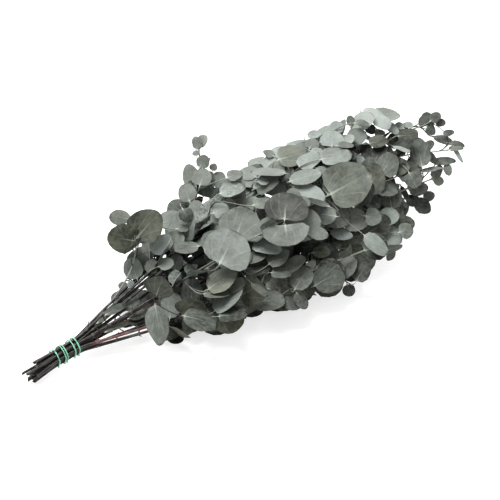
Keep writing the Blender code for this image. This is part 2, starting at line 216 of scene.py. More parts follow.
SHOWN = tuple(Shown(*row) for row in (
    # The left of the head, with its upright tip
    (197, 145, 85, 14, 10, 0.3, 0.30, 0.3), (196, 154, 100, 9, 8, 0.5, 0.32),
    (202, 163, 60, 15, 14, 0.3, 0.34, 0.2), (213, 168, 70, 10, 8, 0.3, 0.26),
    (217, 180, 50, 19, 15, 0.4, 0.50, 0.1), (202, 178, 75, 21, 20, 0.3, 0.38, -0.2),
    (205, 190, 70, 18, 20, 0.4, 0.54), (196, 209, 80, 17, 14, 0.3, 0.42, 0.1),
    (187, 194, 110, 21, 19, 0.3, 0.34, -0.1), (177, 208, 140, 21, 22, 0.5, 0.12, -0.1),
    (186, 214, -60, 16, 14, 0.3, 0.10, 0.1), (169, 221, 20, 25, 20, 0.4, 0.40),
    (160, 245, 30, 28, 21, 0.4, 0.60, 0.1), (123, 218, 170, 23, 15, 0.5, 0.24, -0.2, 0.3),
    (182, 229, 0, 14, 8, 0.8, 0.30), (206, 211, 38, 42, 13, 0.3, 0.66, 0.5, 0.0, 1.0),
    (220, 211, 20, 19, 17, 0.3, 0.56), (189, 247, 185, 26, 12, 0.9, 0.24),
    (201, 251, 150, 22, 17, 0.7, 0.64), (198, 261, 175, 27, 9, 1.2, 0.92),
    (124, 287, 160, 11, 9, 0.3, 0.38), (131, 283, -60, 10, 8, 0.3, 0.66),
    (152, 268, 60, 21, 18, 0.3, 0.30, 0.2, 0.1), (135, 270, 110, 23, 20, 0.3, 0.48, -0.2, 0.1),
    (177, 263, 80, 20, 14, 0.2, 0.32, 0.1), (166, 264, 20, 18, 13, 0.6, 0.36),
    (182, 275, 75, 15, 6, 0.3, 0.72, 0.2), (142, 323, 10, 13, 8, 0.5, 0.38, 0.0, 0.5),
    (117, 309, 28, 24, 8, 1.0, 0.10), (130, 305, 32, 24, 9, 0.9, 0.14),
    (139, 314, 25, 22, 10, 0.8, 0.12), (118, 326, 24, 26, 6, 0.9, 0.04, 0.0, 0.3),
    (134, 322, 22, 26, 7, 0.9, 0.06, 0.0, 0.3), (105, 318, 36, 16, 5, 0.9, 0.10, 0.0, 0.2),
    (173, 306, 80, 28, 21, 0.3, 0.42, 0.2), (152, 312, 110, 22, 18, 0.3, 0.08, -0.2, 0.1),
    (160, 321, -80, 40, 22, 0.1, 0.36, 0.4),
    # The upper edge, from the left
    (233, 176, 20, 17, 12, 0.8, 0.34), (260, 161, 180, 23, 14, 0.8, 0.62),
    (250, 173, 150, 19, 17, 0.7, 0.50), (262, 181, 10, 14, 8, 1.0, 0.72),
    (270, 172, 175, 36, 10, 1.5, 0.40), (297, 143, 10, 27, 11, 1.0, 0.56),
    (270, 153, 150, 14, 8, 0.6, 0.38, 0.0, 0.2), (291, 156, 15, 31, 23, 0.6, 0.30, 0.0, 0.5),
    (314, 134, 15, 17, 9, 0.9, 0.60), (312, 144, 60, 14, 15, 0.4, 0.34),
    (316, 151, -10, 15, 9, 0.9, 0.64), (309, 161, 35, 28, 18, 0.7, 0.62),
    (322, 170, -20, 17, 9, 0.9, 0.42), (337, 126, 40, 15, 14, 0.5, 0.58),
    (333, 139, 85, 19, 26, 0.4, 0.70), (357, 136, 20, 26, 23, 0.3, 0.50),
    (345, 145, 0, 20, 7, 1.3, 0.24), (334, 157, 10, 31, 20, 0.8, 0.50),
    (354, 148, -30, 9, 7, 0.8, 0.78), (352, 120, 95, 14, 9, 0.2, 0.34, 0.4),
    (361, 121, 5, 16, 7, 1.2, 0.26), (381, 131, 0, 14, 9, 1.0, 0.60),
    # The dark leaf at 372, 126 is put in a gap where only shade shows: a painted shadow
    (372, 126, -60, 12, 11, 0.3, 0.04, 0.2), (374, 109, -15, 23, 11, 1.2, 0.84),
    (393, 124, -45, 19, 11, 0.8, 0.80, 0.2, 0.2), (383, 119, -30, 21, 15, 0.6, 0.82),
    (397, 139, -20, 22, 16, 0.6, 0.20, 0.0, 0.1), (378, 141, 10, 21, 12, 0.9, 0.06, 0.0, 0.4),
    (402, 148, -25, 19, 7, 1.3, 0.62),
    # The middle
    (231, 190, 20, 28, 16, 0.8, 0.46, 0.0, 0.0, 0.5), (257, 194, 20, 13, 10, 0.8, 0.66),
    (248, 190, 80, 20, 16, 0.2, 0.60), (278, 188, 15, 30, 17, 0.8, 0.64),
    (307, 193, -25, 37, 20, 0.7, 0.66), (303, 178, 15, 33, 15, 0.9, 0.46),
    (262, 204, 10, 23, 12, 0.9, 0.32), (241, 224, 70, 31, 46, 0.4, 0.34, 0.1, 0.1),
    (228, 249, 62, 37, 52, 0.2, 0.43), (285, 208, 85, 29, 44, 0.5, 0.05, 0.0, 0.1),
    (286, 235, -82, 24, 47, 0.7, 0.33), (266, 247, -20, 31, 17, 0.8, 0.80),
    # The dark leaf at 256, 267 fills a gap under the big pale leaf where only shade shows: a painted shadow
    (256, 267, 10, 30, 20, 0.6, 0.08), (322, 214, 170, 34, 22, 0.6, 0.36),
    (317, 203, 160, 28, 8, 1.4, 0.12), (372, 217, -10, 18, 18, 0.3, 0.38, 0.1),
    (355, 220, -5, 27, 24, 0.3, 0.46, 0.0, 0.2), (316, 232, -10, 23, 12, 0.8, 0.40),
    (340, 234, -20, 25, 13, 0.8, 0.72), (359, 161, 60, 14, 15, 0.4, 0.70),
    (363, 152, 75, 14, 14, 0.5, 0.48, 0.1, 0.4), (388, 164, 60, 27, 25, 0.3, 0.24, 0.1, 0.1),
    (374, 180, 80, 34, 26, 0.2, 0.14, 0.2, 0.4), (389, 217, 20, 22, 18, 0.6, 0.50),
    (386, 253, -15, 25, 10, 1.2, 0.34), (389, 235, -15, 27, 21, 0.5, 0.66),
    (373, 243, -40, 30, 17, 0.6, 0.56, 0.5), (406, 230, 20, 17, 17, 0.3, 0.32, 0.1),
    # The shaded lower side
    (192, 295, 90, 30, 24, 0.3, 0.16, 0.1), (200, 317, -10, 35, 20, 1.1, 0.18, 0.15),
    (231, 314, 5, 29, 15, 1.2, 0.14, -0.1), (228, 299, 40, 38, 18, 0.9, 0.56, -0.6),
    (232, 287, 25, 26, 14, 0.9, 0.26, -0.4, 0.6), (215, 293, 0, 27, 10, 1.4, 0.34, 0.0, 0.6),
    (206, 277, 190, 15, 12, 0.8, 0.46, 0.0, 0.1), (221, 280, 35, 34, 20, 0.8, 0.36, -0.5, 0.7),
    (264, 281, 200, 22, 17, 0.8, 0.38, 0.2), (258, 288, -40, 21, 9, 1.2, 0.24, 0.4),
    (271, 299, 10, 28, 20, 0.8, 0.30), (289, 302, -20, 20, 14, 0.6, 0.10),
    (300, 299, -60, 21, 13, 0.5, 0.20, 0.4), (300, 279, 60, 28, 22, 0.4, 0.32, -0.4),
    (293, 264, 35, 25, 15, 0.8, 0.50, -0.5, 0.6), (277, 257, 40, 27, 17, 0.8, 0.48, -0.5, 0.4),
    (279, 273, -5, 21, 11, 1.1, 0.34, 0.0, 0.1), (320, 252, 5, 21, 12, 0.9, 0.12, 0.0, 0.5),
    (361, 273, 60, 24, 19, 0.3, 0.08, -0.2), (349, 289, -70, 15, 13, 0.3, 0.08),
    (343, 267, 45, 30, 25, 0.4, 0.36, -0.2), (327, 278, 30, 38, 32, 0.4, 0.21),
    # The far right
    (402, 168, 30, 21, 15, 0.4, 0.20, 0.0, 0.4), (422, 153, 100, 31, 22, 0.2, 0.18, -0.1),
    (414, 178, -60, 19, 19, 0.3, 0.18, 0.1), (433, 168, 10, 26, 5, 0.9, 0.50),
    (391, 196, 100, 31, 22, 0.2, 0.18, 0.2), (408, 193, -60, 23, 6, 0.2, 0.06, 0.2),
    (445, 159, 5, 25, 9, 0.5, 0.20), (451, 167, -75, 15, 9, 0.3, 0.32),
    (461, 151, -60, 19, 5, 0.3, 0.68, 0.2), (428, 120, 120, 13, 12, 0.3, 0.06),
    (438, 115, 40, 15, 11, 0.4, 0.16), (434, 126, -50, 13, 11, 0.3, 0.10, 0.1),
    (443, 120, 0, 12, 9, 0.4, 0.12), (413, 122, 170, 13, 6, 0.7, 0.56),
    (404, 124, 150, 12, 7, 0.6, 0.50), (446, 137, -15, 23, 9, 0.5, 0.16),
    (460, 142, -10, 19, 7, 0.5, 0.18), (451, 131, 15, 14, 7, 0.4, 0.14),
))

# Leaves of the solids that the photograph shows in a shade of their own: how pale, how olive and how crinkled
TONES = {
    "stem_front_big/0/-1": (0.08, 0.36, 0.0),
    "stem_front_big/0/1": (0.05, 0.36, 0.0),
    "stem_top_middle/0/-1": (0.14, 0.10, 0.0),
}


@dataclass(frozen=True)
class Route:
    """A line of points with a radius at each: the run of a stem, of a side shoot or of the twine."""

    points: list[Vector]
    radii: list[float]

    @property
    def along(self) -> list[float]:
        """How far along the line each point is."""
        steps = [(b - a).length for a, b in zip(self.points, self.points[1:])]
        return [sum(steps[:i]) for i in range(len(self.points))]

    def at(self, share: float) -> tuple[Vector, Vector, float]:
        """Finds a place on the line.

        Args:
            share: How far along, from 0 at the start to 1 at the end.

        Returns:
            The place, the heading there and the radius there.
        """
        along = self.along
        distance = share * along[-1]
        last = len(self.points) - 2
        i = next((k for k in range(last) if along[k + 1] >= distance), last)
        part = (distance - along[i]) / (along[i + 1] - along[i])
        place = self.points[i].lerp(self.points[i + 1], part)
        before = self.points[max(i - 1, 0)]
        after = self.points[min(i + 2, len(self.points) - 1)]
        radius = self.radii[i] + part * (self.radii[i + 1] - self.radii[i])
        return place, (after - before).normalized(), radius

    def run_at(self, i: int) -> Vector:
        """The way from the point before to the point after."""
        return self.points[min(i + 1, len(self.points) - 1)] - self.points[max(i - 1, 0)]

    def along_of(self, mesh: Mesh) -> np.ndarray:
        """For each point of a mesh, how far along the line the nearest of the line's points is."""
        places = np.array([vertex.co for vertex in mesh.vertices])
        line = np.array(self.points)
        nearest = np.argmin(((places[:, None] - line[None]) ** 2).sum(axis=2), axis=1)
        return np.array(self.along)[nearest]

    def shell(self, sides: int = 6) -> Shell:
        """Points and faces round the line, for finding what it would cross."""
        points: list[Vector] = []
        faces: list[tuple[int, ...]] = []
        for i, place in enumerate(self.points):
            turn = self.run_at(i).to_track_quat("Z", "Y")
            for k in range(sides):
                angle = 2 * pi * k / sides
                ring = Vector((cos(angle), sin(angle), 0)) * self.radii[i]
                points.append(place + turn @ ring)
        for i in range(len(self.points) - 1):
            for k in range(sides):
                a, b = i * sides + k, i * sides + (k + 1) % sides
                faces.append((a, b, b + sides, a + sides))
        return points, faces


@dataclass(frozen=True)
class Binding:
    """Where the stems are packed side by side and bound."""

    x: float = -0.236
    half: float = 0.018
    height: float = 0.0180
    slope: float = 0.15
    twine_radius: float = 0.0010
    turn_places: tuple[float, ...] = (-0.0145, -0.0060, -0.0034, 0.0072, 0.0128)
    hidden_side: float = radians(-44)
    fan_middle: float = 0.050
    tip_pull: float = 0.34
    side_gap: float = SEAM * 1.2
    spread: float = 0.06
    pull: float = 0.985
    pull_steps: int = 500
    all_steps: int = 700
    level_until: float = 0.72
    step_share: float = 0.28

    def approach(self, stem: Stem) -> Vector:
        """The point that a stem bends towards before it turns to its tip."""
        tip = Vector(stem.tip)
        return tip - Vector(stem.heading).normalized() * (tip.x - self.x) * self.tip_pull

    def packed_places(self) -> list[Vector]:
        """Where each stem runs through the binding: discs pulled together until they nearly touch."""
        radii = [stem.radius for stem in STEMS]
        places = []
        for stem in STEMS:
            ahead = self.approach(stem)
            slopes = Vector((ahead.y, ahead.z - self.fan_middle)) / (ahead.x - self.x)
            places.append(slopes * self.spread)
        for step in range(self.all_steps):
            if step < self.pull_steps:
                places = [place * self.pull for place in places]
            for i in range(len(places)):
                for j in range(i):
                    apart = places[i] - places[j]
                    overlap = radii[i] + radii[j] + self.side_gap - apart.length
                    if overlap > 0:
                        push = apart.normalized() * overlap / 2
                        places[i] += push
                        places[j] -= push
        return places

    def taut_corner(self, places: list[Vector], angle: float, turn: float) -> Vector:
        """Where the taut twine bends between two angles: it just clears every stem that it binds."""
        reach = []
        for facing in (angle, angle + turn):
            way = Vector((cos(facing), sin(facing)))
            support = max(place.dot(way) + stem.radius for place, stem in zip(places, STEMS))
            reach.append(support + SEAM + self.twine_radius)
        across = reach[0] * sin(angle + turn) - reach[1] * sin(angle)
        up = reach[1] * cos(angle) - reach[0] * cos(angle + turn)
        return Vector((across / sin(turn), up / sin(turn)))

    def twine_route(self, places: list[Vector], per_turn: int) -> Route:
        """The twine's run: level turns in front, with the step to the next turn on the hidden side.

        Args:
            places: Where the stems run through the binding.
            per_turn: How many points each turn has.

        Returns:
            The run, with the twine's radius all along.
        """
        points = []
        turns = len(self.turn_places)
        for k in range(turns * per_turn - 1):
            turn, part = divmod(k, per_turn)
            part /= per_turn
            step = max(0.0, (part - self.level_until) / self.step_share)
            after = self.turn_places[min(turn + 1, turns - 1)]
            ease = step * step * (3 - 2 * step)
            x = self.turn_places[turn] + (after - self.turn_places[turn]) * ease
            angle = self.hidden_side + 2 * pi * part
            corner = self.taut_corner(places, angle, 2 * pi / per_turn)
            points.append(Vector((self.x + x, corner.x, self.height + self.slope * x + corner.y)))
        return Route(points, [self.twine_radius] * len(points))


@dataclass(frozen=True)
class StemLine:
    """How a stem runs: cut end, straight through the binding, and out along a curve to its tip."""

    cut_reach: Pair = (0.036, 0.056)
    cut_splay: float = 1.35
    cut_shift: float = -0.002
    cut_droop: float = 0.15
    steepest_fan: float = 0.38
    fan_pull: float = 0.36
    swell: float = 1.22
    points: int = 9
    tip_radius: float = 0.0008
    taper: float = 0.8

    def route(self, stem: Stem, place: Vector, binding: Binding) -> Route:
        """Lays out one stem.

        Args:
            stem: The stem.
            place: Where it runs through the binding, across and up.
            binding: The binding.

        Returns:
            The stem's run, with its radius at each point.
        """
        draw = Random(stem.name)
        middle = Vector((binding.x, place.x, binding.height + place.y))
        along = Vector((1, 0, binding.slope))
        low, high = middle - along * binding.half, middle + along * binding.half
        cut = middle - along * draw.uniform(*self.cut_reach)
        cut.y = place.x * self.cut_splay + self.cut_shift
        cut.z += place.y * self.cut_droop
        tip = Vector(stem.tip)
        ahead = binding.approach(stem)
        slopes = (ahead - high) * self.swell / (ahead.x - high.x)
        fan = Vector((1, slopes.y, min(slopes.z, self.steepest_fan))).normalized()
        reach = (tip - high).length
        control = (high, high + fan * reach * self.fan_pull, ahead, tip)
        curve = [self.bezier(control, k / self.points) for k in range(1, self.points + 1)]
        radii = [stem.radius] * 3
        for k, point in enumerate(curve):
            share = (k + 1) / self.points
            radii.append(stem.radius + (self.tip_radius - stem.radius) * share**self.taper)
            point.z = max(point.z, radii[-1] + SEAM)
        return Route([cut, low, high, *curve], radii)

    @staticmethod
    def bezier(points: tuple[Vector, Vector, Vector, Vector], share: float) -> Vector:
        """The point at a share of a cubic curve through four control points."""
        a, b, c, d = points
        rest = 1 - share
        return rest**3 * a + 3 * rest**2 * share * b + 3 * rest * share**2 * c + share**3 * d


@dataclass(frozen=True)
class Leaf:
    """A leaf's place and plain form: its axes, X along its midrib and Z the way its face looks."""

    matrix: Matrix
    length: float
    width: float
    side_points: int
    fold: float
    site: str
    pressed: bool = False
    # Painted shade taken off the leaf's paleness: for leaves deep in the head and under others
    shade: float = 0.0
    tone: Triple | None = None


@dataclass(frozen=True)
class PlainBlade:
    """The plain form of a leaf that the solids have, for finding what a leaf would cross."""

    thickness: float = 0.0008
    clearance: float = 0.0005
    neck: float = 0.0034
    neck_half_width: float = 0.0007
    fold: float = 0.16
    pointed: float = 0.05
    point_steps: Pair = (0.12, 0.42)
    more_points_from: Pair = (0.027, 0.044)

    def side_points(self, length: float) -> int:
        """Points on each side of the outline, between neck and tip: larger leaves take more."""
        return 2 + sum(length > least for least in self.more_points_from)

    def outline(self, leaf: Leaf) -> tuple[list[Pair], float]:
        """The outline from above, root first, and the middle of its round part."""
        half = (leaf.length - self.neck) / 2
        middle = self.neck + half
        sides = []
        first, last = self.point_steps
        for k in range(1, leaf.side_points + 1):
            angle = pi * (k - first) / (leaf.side_points + last)
            sides.append((middle + half * cos(angle), leaf.width / 2 * sin(angle)))
        upper = [(self.neck, self.neck_half_width), *reversed(sides)]
        lower = [(x, -y) for x, y in reversed(upper)]
        tip = (leaf.length * (1 + self.pointed), 0.0)
        return [(0.0, 0.0), *upper, tip, *lower], middle

    def shell(self, leaf: Leaf, thickness: float, grow: float = 0.0) -> Shell:
        """Points and faces of a leaf's closed surface.

        Args:
            leaf: The leaf.
            thickness: How thick the blade is taken to be.
            grow: How far the outline is moved outwards.

        Returns:
            The points and faces, in the object's frame.
        """
        outline, middle = self.outline(leaf)
        share = 1 + 2 * grow / leaf.length
        flat = [(middle + (x - middle) * share, y * share) for x, y in outline]
        points = [Vector((x, y, leaf.fold * abs(y))) for x, y in flat]
        count = len(points)
        tip = count // 2
        lift = Vector((0, 0, thickness / 2))
        shell = [leaf.matrix @ (p + lift) for p in points]
        shell += [leaf.matrix @ (p - lift) for p in points]
        upper, lower = list(range(tip + 1)), [*range(tip, count), 0]
        faces = [tuple(upper), tuple(lower), tuple(k + count for k in upper), tuple(k + count for k in lower)]
        for k in range(count):
            after = (k + 1) % count
            faces.append((k, count + k, count + after, after))
        return shell, faces


@dataclass(frozen=True)
class PhotoView:
    """How the photograph sees the bunch: where the binding is, a pixel's size and the camera's axes."""

    azimuth: float = -35.0
    elevation: float = 40.0
    pixel: float = 0.001152
    binding_x: float = 69.0
    binding_y: float = 350.0
    binding: Triple = (-0.236, 0.0, 0.018)

    @property
    def axes(self) -> tuple[Vector, Vector, Vector]:
        """The ways that are right and up in the photograph, and the way back to the camera."""
        a, e = radians(self.azimuth), radians(self.elevation)
        back = Vector((sin(a) * cos(e), -cos(a) * cos(e), sin(e)))
        right = Vector((cos(a), sin(a), 0))
        return right, back.cross(right), back

    def place(self, x: float, y: float, depth: float) -> Vector:
        """The point at a pixel, at a depth towards the camera from the binding."""
        right, up, back = self.axes
        across, over = (x - self.binding_x) * self.pixel, (self.binding_y - y) * self.pixel
        return Vector(self.binding) + right * across + up * over + back * depth

    def seen(self, point: Vector) -> Vector:
        """A point as the photograph sees it: right, up and towards the camera, in metres from the binding."""
        away = point - Vector(self.binding)
        return Vector([away.dot(axis) for axis in self.axes])


class Shields:
    """The leaves that show in front, which nothing added later may cover."""

    def __init__(self, leaves: list[Leaf], back: Vector, share: float = 0.84, rise: float = 0.0005) -> None:
        """Keeps each leaf's axes and half sizes.

        Args:
            leaves: The leaves to keep uncovered.
            back: The way back to the camera.
            share: How much of each leaf's size is kept uncovered.
            rise: How far in front something must be to cover a leaf.
        """
        turns = np.array([leaf.matrix.inverted() for leaf in leaves])
        self.turns, self.shifts = turns[:, :3, :3], turns[:, :3, 3]
        self.ways = self.turns @ np.array(back)
        self.middles = np.array([leaf.length / 2 for leaf in leaves])
        self.halves = np.array([(leaf.length / 2 * share, leaf.width / 2 * share) for leaf in leaves])
        self.rise = rise

    def covered_by(self, points: list[Vector]) -> bool:
        """True if any of the points, or a place between them, stands before one of the leaves."""
        near = np.array(points)
        near = np.concatenate((near, (near + near.mean(axis=0)) / 2, near.mean(axis=0)[None]))
        local = np.einsum("mij,nj->mni", self.turns, near) + self.shifts[:, None]
        lift = local[..., 2] / self.ways[:, None, 2]
        along = local[..., 0] - self.ways[:, None, 0] * lift - self.middles[:, None]
        across = local[..., 1] - self.ways[:, None, 1] * lift
        inside = (along / self.halves[:, None, 0]) ** 2 + (across / self.halves[:, None, 1]) ** 2 < 1
        return bool((inside & (lift > self.rise)).any())


@dataclass
class Placed:
    """One surface that has its place, with the joint or run that it belongs to."""

    group: str
    low: Vector
    high: Vector
    tree: BVHTree


class Bunch:
    """What has been placed so far, so that the next leaf or shoot can be bent clear of it."""

    ray_start: float = 0.0015

    def __init__(self) -> None:
        """Starts with nothing placed, and no limits."""
        self.placed: dict[str, Placed] = {}
        self.limits: tuple[Vector, Vector] | None = None
        self.shields: Shields | None = None

    @staticmethod
    def measured(group: str, shell: Shell) -> Placed:
        """A surface with its box and its search tree."""
        points, faces = shell
        low = Vector([min(p[k] for p in points) for k in range(3)])
        high = Vector([max(p[k] for p in points) for k in range(3)])
        return Placed(group, low, high, BVHTree.FromPolygons(points, faces))

    def add(self, group: str, shell: Shell, key: str = "") -> None:
        """Keeps a placed surface.

        Args:
            group: The joint or run that it belongs to.
            shell: Its points and faces.
            key: Its own name, where it may be placed again in a finer form.
        """
        self.placed[key or f"{group}#{len(self.placed)}"] = self.measured(group, shell)

    def outside(self, new: Placed) -> bool:
        """True if a surface reaches out of the limits."""
        if self.limits is None:
            return False
        low, high = self.limits
        return any(new.low[k] < low[k] or new.high[k] > high[k] for k in range(3))

    def clear(self, group: str, shell: Shell, own_stem: str, floor: float = SEAM) -> bool:
        """True if the surface lies over the floor and crosses nothing but what grows from its own joint."""
        new = self.measured(group, shell)
        if new.low.z < floor or self.outside(new):
            return False
        for other in self.placed.values():
            if other.group in (group, own_stem):
                continue
            if any(new.low[k] > other.high[k] or new.high[k] < other.low[k] for k in range(3)):
                continue
            if new.tree.overlap(other.tree):
                return False
        return self.shields is None or not self.shields.covered_by(shell[0])

    def shelter(self, place: Vector, rays: list[Vector], reach: float) -> float:
        """The share of the rays from a place that meet something within reach."""
        near = [
            each.tree
            for each in self.placed.values()
            if all(each.low[k] - reach < place[k] < each.high[k] + reach for k in range(3))
        ]
        starts = [(place + ray * self.ray_start, ray) for ray in rays]
        met = [any(tree.ray_cast(start, ray, reach)[3] is not None for tree in near) for start, ray in starts]
        return sum(met) / len(met)

    def front(self, place: Vector, back: Vector) -> float | None:
        """How far under a place the first surface is, looking away from the camera, if there is one."""
        found = [each.tree.ray_cast(place, -back)[3] for each in self.placed.values()]
        found = [distance for distance in found if distance is not None]
        return min(found) if found else None


@dataclass(frozen=True)
class Joint:
    """Where two opposite leaves grow, with their length before each one's own draw and their width over it.

    The pair's number seeds its draws. Closed is less than 1 where the leaves stand less open, as at a tip.
    Shade is painted shade: how much darker than the stem's others they are, as leaves deep in the head look.
    """

    stem: str
    site: Vector
    heading: Vector
    pair: int
    length: float
    slim: float
    closed: float = 1.0
    shade: float = 0.0


@dataclass
class LeafPlacer:
    """Finds how each leaf of the solids stands."""

    bunch: Bunch
    blade: PlainBlade = field(default_factory=PlainBlade)
    head_height: float = 0.062
    level_share: float = 0.8
    middle_reach: float = 0.004
    middle_way: Triple = (0, -0.6, 0.8)
    face_outward: float = 0.42
    face_settled: Triple = (-0.20, -0.24, 0.80)
    depth_share: float = 0.55
    pressed_below: float = 0.0017
    pressed_stagger: float = 0.0015
    pressed_lean: Pair = (52, 72)
    pressed_slim: float = 0.94
    pressed_shrink: float = 0.97
    tilt: float = 0.20
    turn: float = 24
    lean: Pair = (46, 72)
    lean_play: float = 6
    loosening: float = 0.09
    shrink: float = 0.985
    lengths: Pair = (0.88, 1.10)
    widths: Pair = (0.93, 1.05)
    folds: Pair = (0.2, 1.3)
    hero_fold: float = 0.6
    tries: int = 40

    def outward(self, place: Vector, heading: Vector) -> Vector:
        """The way out of the leafy head at a place on a run, square to the run."""
        away = Vector((0, place.y * self.level_share, place.z - self.head_height))
        out = away.normalized() if away.length > self.middle_reach else Vector(self.middle_way)
        return (out - heading * out.dot(heading)).normalized()

    @staticmethod
    def axes(root: Vector, midrib: Vector, face: Vector) -> Matrix:
        """Axes of a leaf: X along its midrib, Z the way its face looks."""
        across = face.cross(midrib).normalized()
        up = midrib.cross(across)
        return Matrix.Translation(root) @ Matrix((midrib, across, up)).transposed().to_4x4()

    def pressed_leaf(self, joint: Joint, side: int, length: float, draw: Random) -> Leaf:
        """A leaf that the bunch's weight holds flat on the floor."""
        along = Vector((joint.heading.x, joint.heading.y, 0)).normalized()
        across = Vector((-along.y, along.x, 0)) * side
        lean = radians(draw.uniform(*self.pressed_lean))
        midrib = (along * cos(lean) + across * sin(lean)).normalized()
        root = joint.site + along * side * self.pressed_stagger
        root.z = self.blade.thickness / 2
        matrix = self.axes(root, midrib, Vector((0, 0, 1)))
        return Leaf(matrix, length, length * self.pressed_slim, self.blade.side_points(length), 0.0, "", True)

    def leaf_try(self, joint: Joint, side: int, length: float, attempt: int, draw: Random) -> Leaf:
        """One way for a leaf to stand: pairs alternate between spreading sideways and pointing in and out."""
        loose = 1 + attempt * self.loosening
        out = self.outward(joint.site, joint.heading)
        sideways = joint.heading.cross(out)
        turn = radians((joint.pair % 2) * 90 + draw.uniform(-self.turn, self.turn) * loose)
        spread = (sideways * cos(turn) + out * sin(turn) * self.depth_share) * side
        lean = joint.closed * draw.uniform(*self.lean) + draw.uniform(-self.lean_play, self.lean_play) * loose
        lean = radians(lean)
        midrib = (joint.heading * cos(lean) + spread * sin(lean)).normalized()
        tilt = Vector([draw.gauss(0, self.tilt * loose) for _ in range(3)])
        face = out * self.face_outward + Vector(self.face_settled) + tilt
        length *= self.shrink**attempt
        width = length * joint.slim * draw.uniform(*self.widths)
        matrix = self.axes(joint.site, midrib, face)
        fold = self.blade.fold * draw.uniform(*self.folds)
        return Leaf(matrix, length, width, self.blade.side_points(length), fold, "")

    def pair_leaves(self, joint: Joint) -> list[Leaf]:
        """Places the two leaves of a joint, each in the first way that is clear.

        Args:
            joint: The joint.

        Returns:
            The leaves that found a clear way.
        """
        found = []
        group = f"{joint.stem}/{joint.pair}"
        room = self.blade.thickness + 2 * self.blade.clearance
        pressed = joint.site.z < self.pressed_below
        floor = -self.blade.thickness if pressed else SEAM
        for side in (1, -1):
            draw = Random(f"{group}/{side}")
            size = joint.length * draw.uniform(*self.lengths)
            for attempt in range(self.tries):
                if pressed:
                    leaf = self.pressed_leaf(joint, side, size * self.pressed_shrink**attempt, draw)
                else:
                    leaf = self.leaf_try(joint, side, size, attempt, draw)
                shell = self.blade.shell(leaf, room, self.blade.clearance)
                if self.bunch.clear(group, shell, joint.stem, floor):
                    leaf = replace(leaf, site=f"{group}/{side}", shade=joint.shade)
                    self.bunch.add(group, self.blade.shell(leaf, self.blade.thickness), leaf.site)
                    found.append(leaf)
                    break
        return found

    def hero_leaves(self, routes: dict[str, Route]) -> dict[str, list[Leaf]]:
        """Places the largest leaves of the head, for each stem's name."""
        found: dict[str, list[Leaf]] = {name: [] for name in routes}
        fold = self.blade.fold * self.hero_fold
        for number, hero in enumerate(HEROES):
            site = routes[hero.stem].at(hero.share)[0]
            matrix = self.axes(site, Vector(hero.midrib).normalized(), Vector(hero.face))
            points = self.blade.side_points(hero.length)
            group = f"{hero.stem}/hero{number}"
            tone = (hero.paleness, hero.olive, 0.0)
            leaf = Leaf(matrix, hero.length, hero.width, points, fold, group, tone=tone)
            found[hero.stem].append(leaf)
            self.bunch.add(group, self.blade.shell(leaf, self.blade.thickness), group)
        return found


@dataclass(frozen=True)
class ShootKind:
    """How one kind of side shoot grows.

    The first starts as much as lead before a stem's first joint, the last before end, as shares of the run.
    The leaves get smaller by leaf_step from pair to pair. Their width over length is the first number of slim
    plus the second times the stem's own.
    """

    name: str = "shoot"
    lead: float = 0.0
    end: float = 0.86
    places: Pair = (0.3, 0.7)
    lengths: Pair = (0.055, 0.080)
    shrink: float = 0.985
    pairs: Triple = (0.50, 0.78, 0.985)
    leaf: float = 0.84
    leaf_step: float = 0.12
    slim: Pair = (0.9, 0.0)
    tip_closed: float = 0.55
    first_number: int = 10
    # Painted shade of the shoot's leaves, taken off their paleness
    shade: float = 0.0


LONG_SHOOT = ShootKind()
SMALL_SHOOT = ShootKind(
    "small", 0.05, 0.92, (0.1, 0.9), (0.035, 0.060), 0.97, (0.42, 0.72, 0.985), 0.80, 0.14,
    slim=(0.40, 0.56), tip_closed=0.6, first_number=200, shade=INNER_PAINTED_SHADE,
)


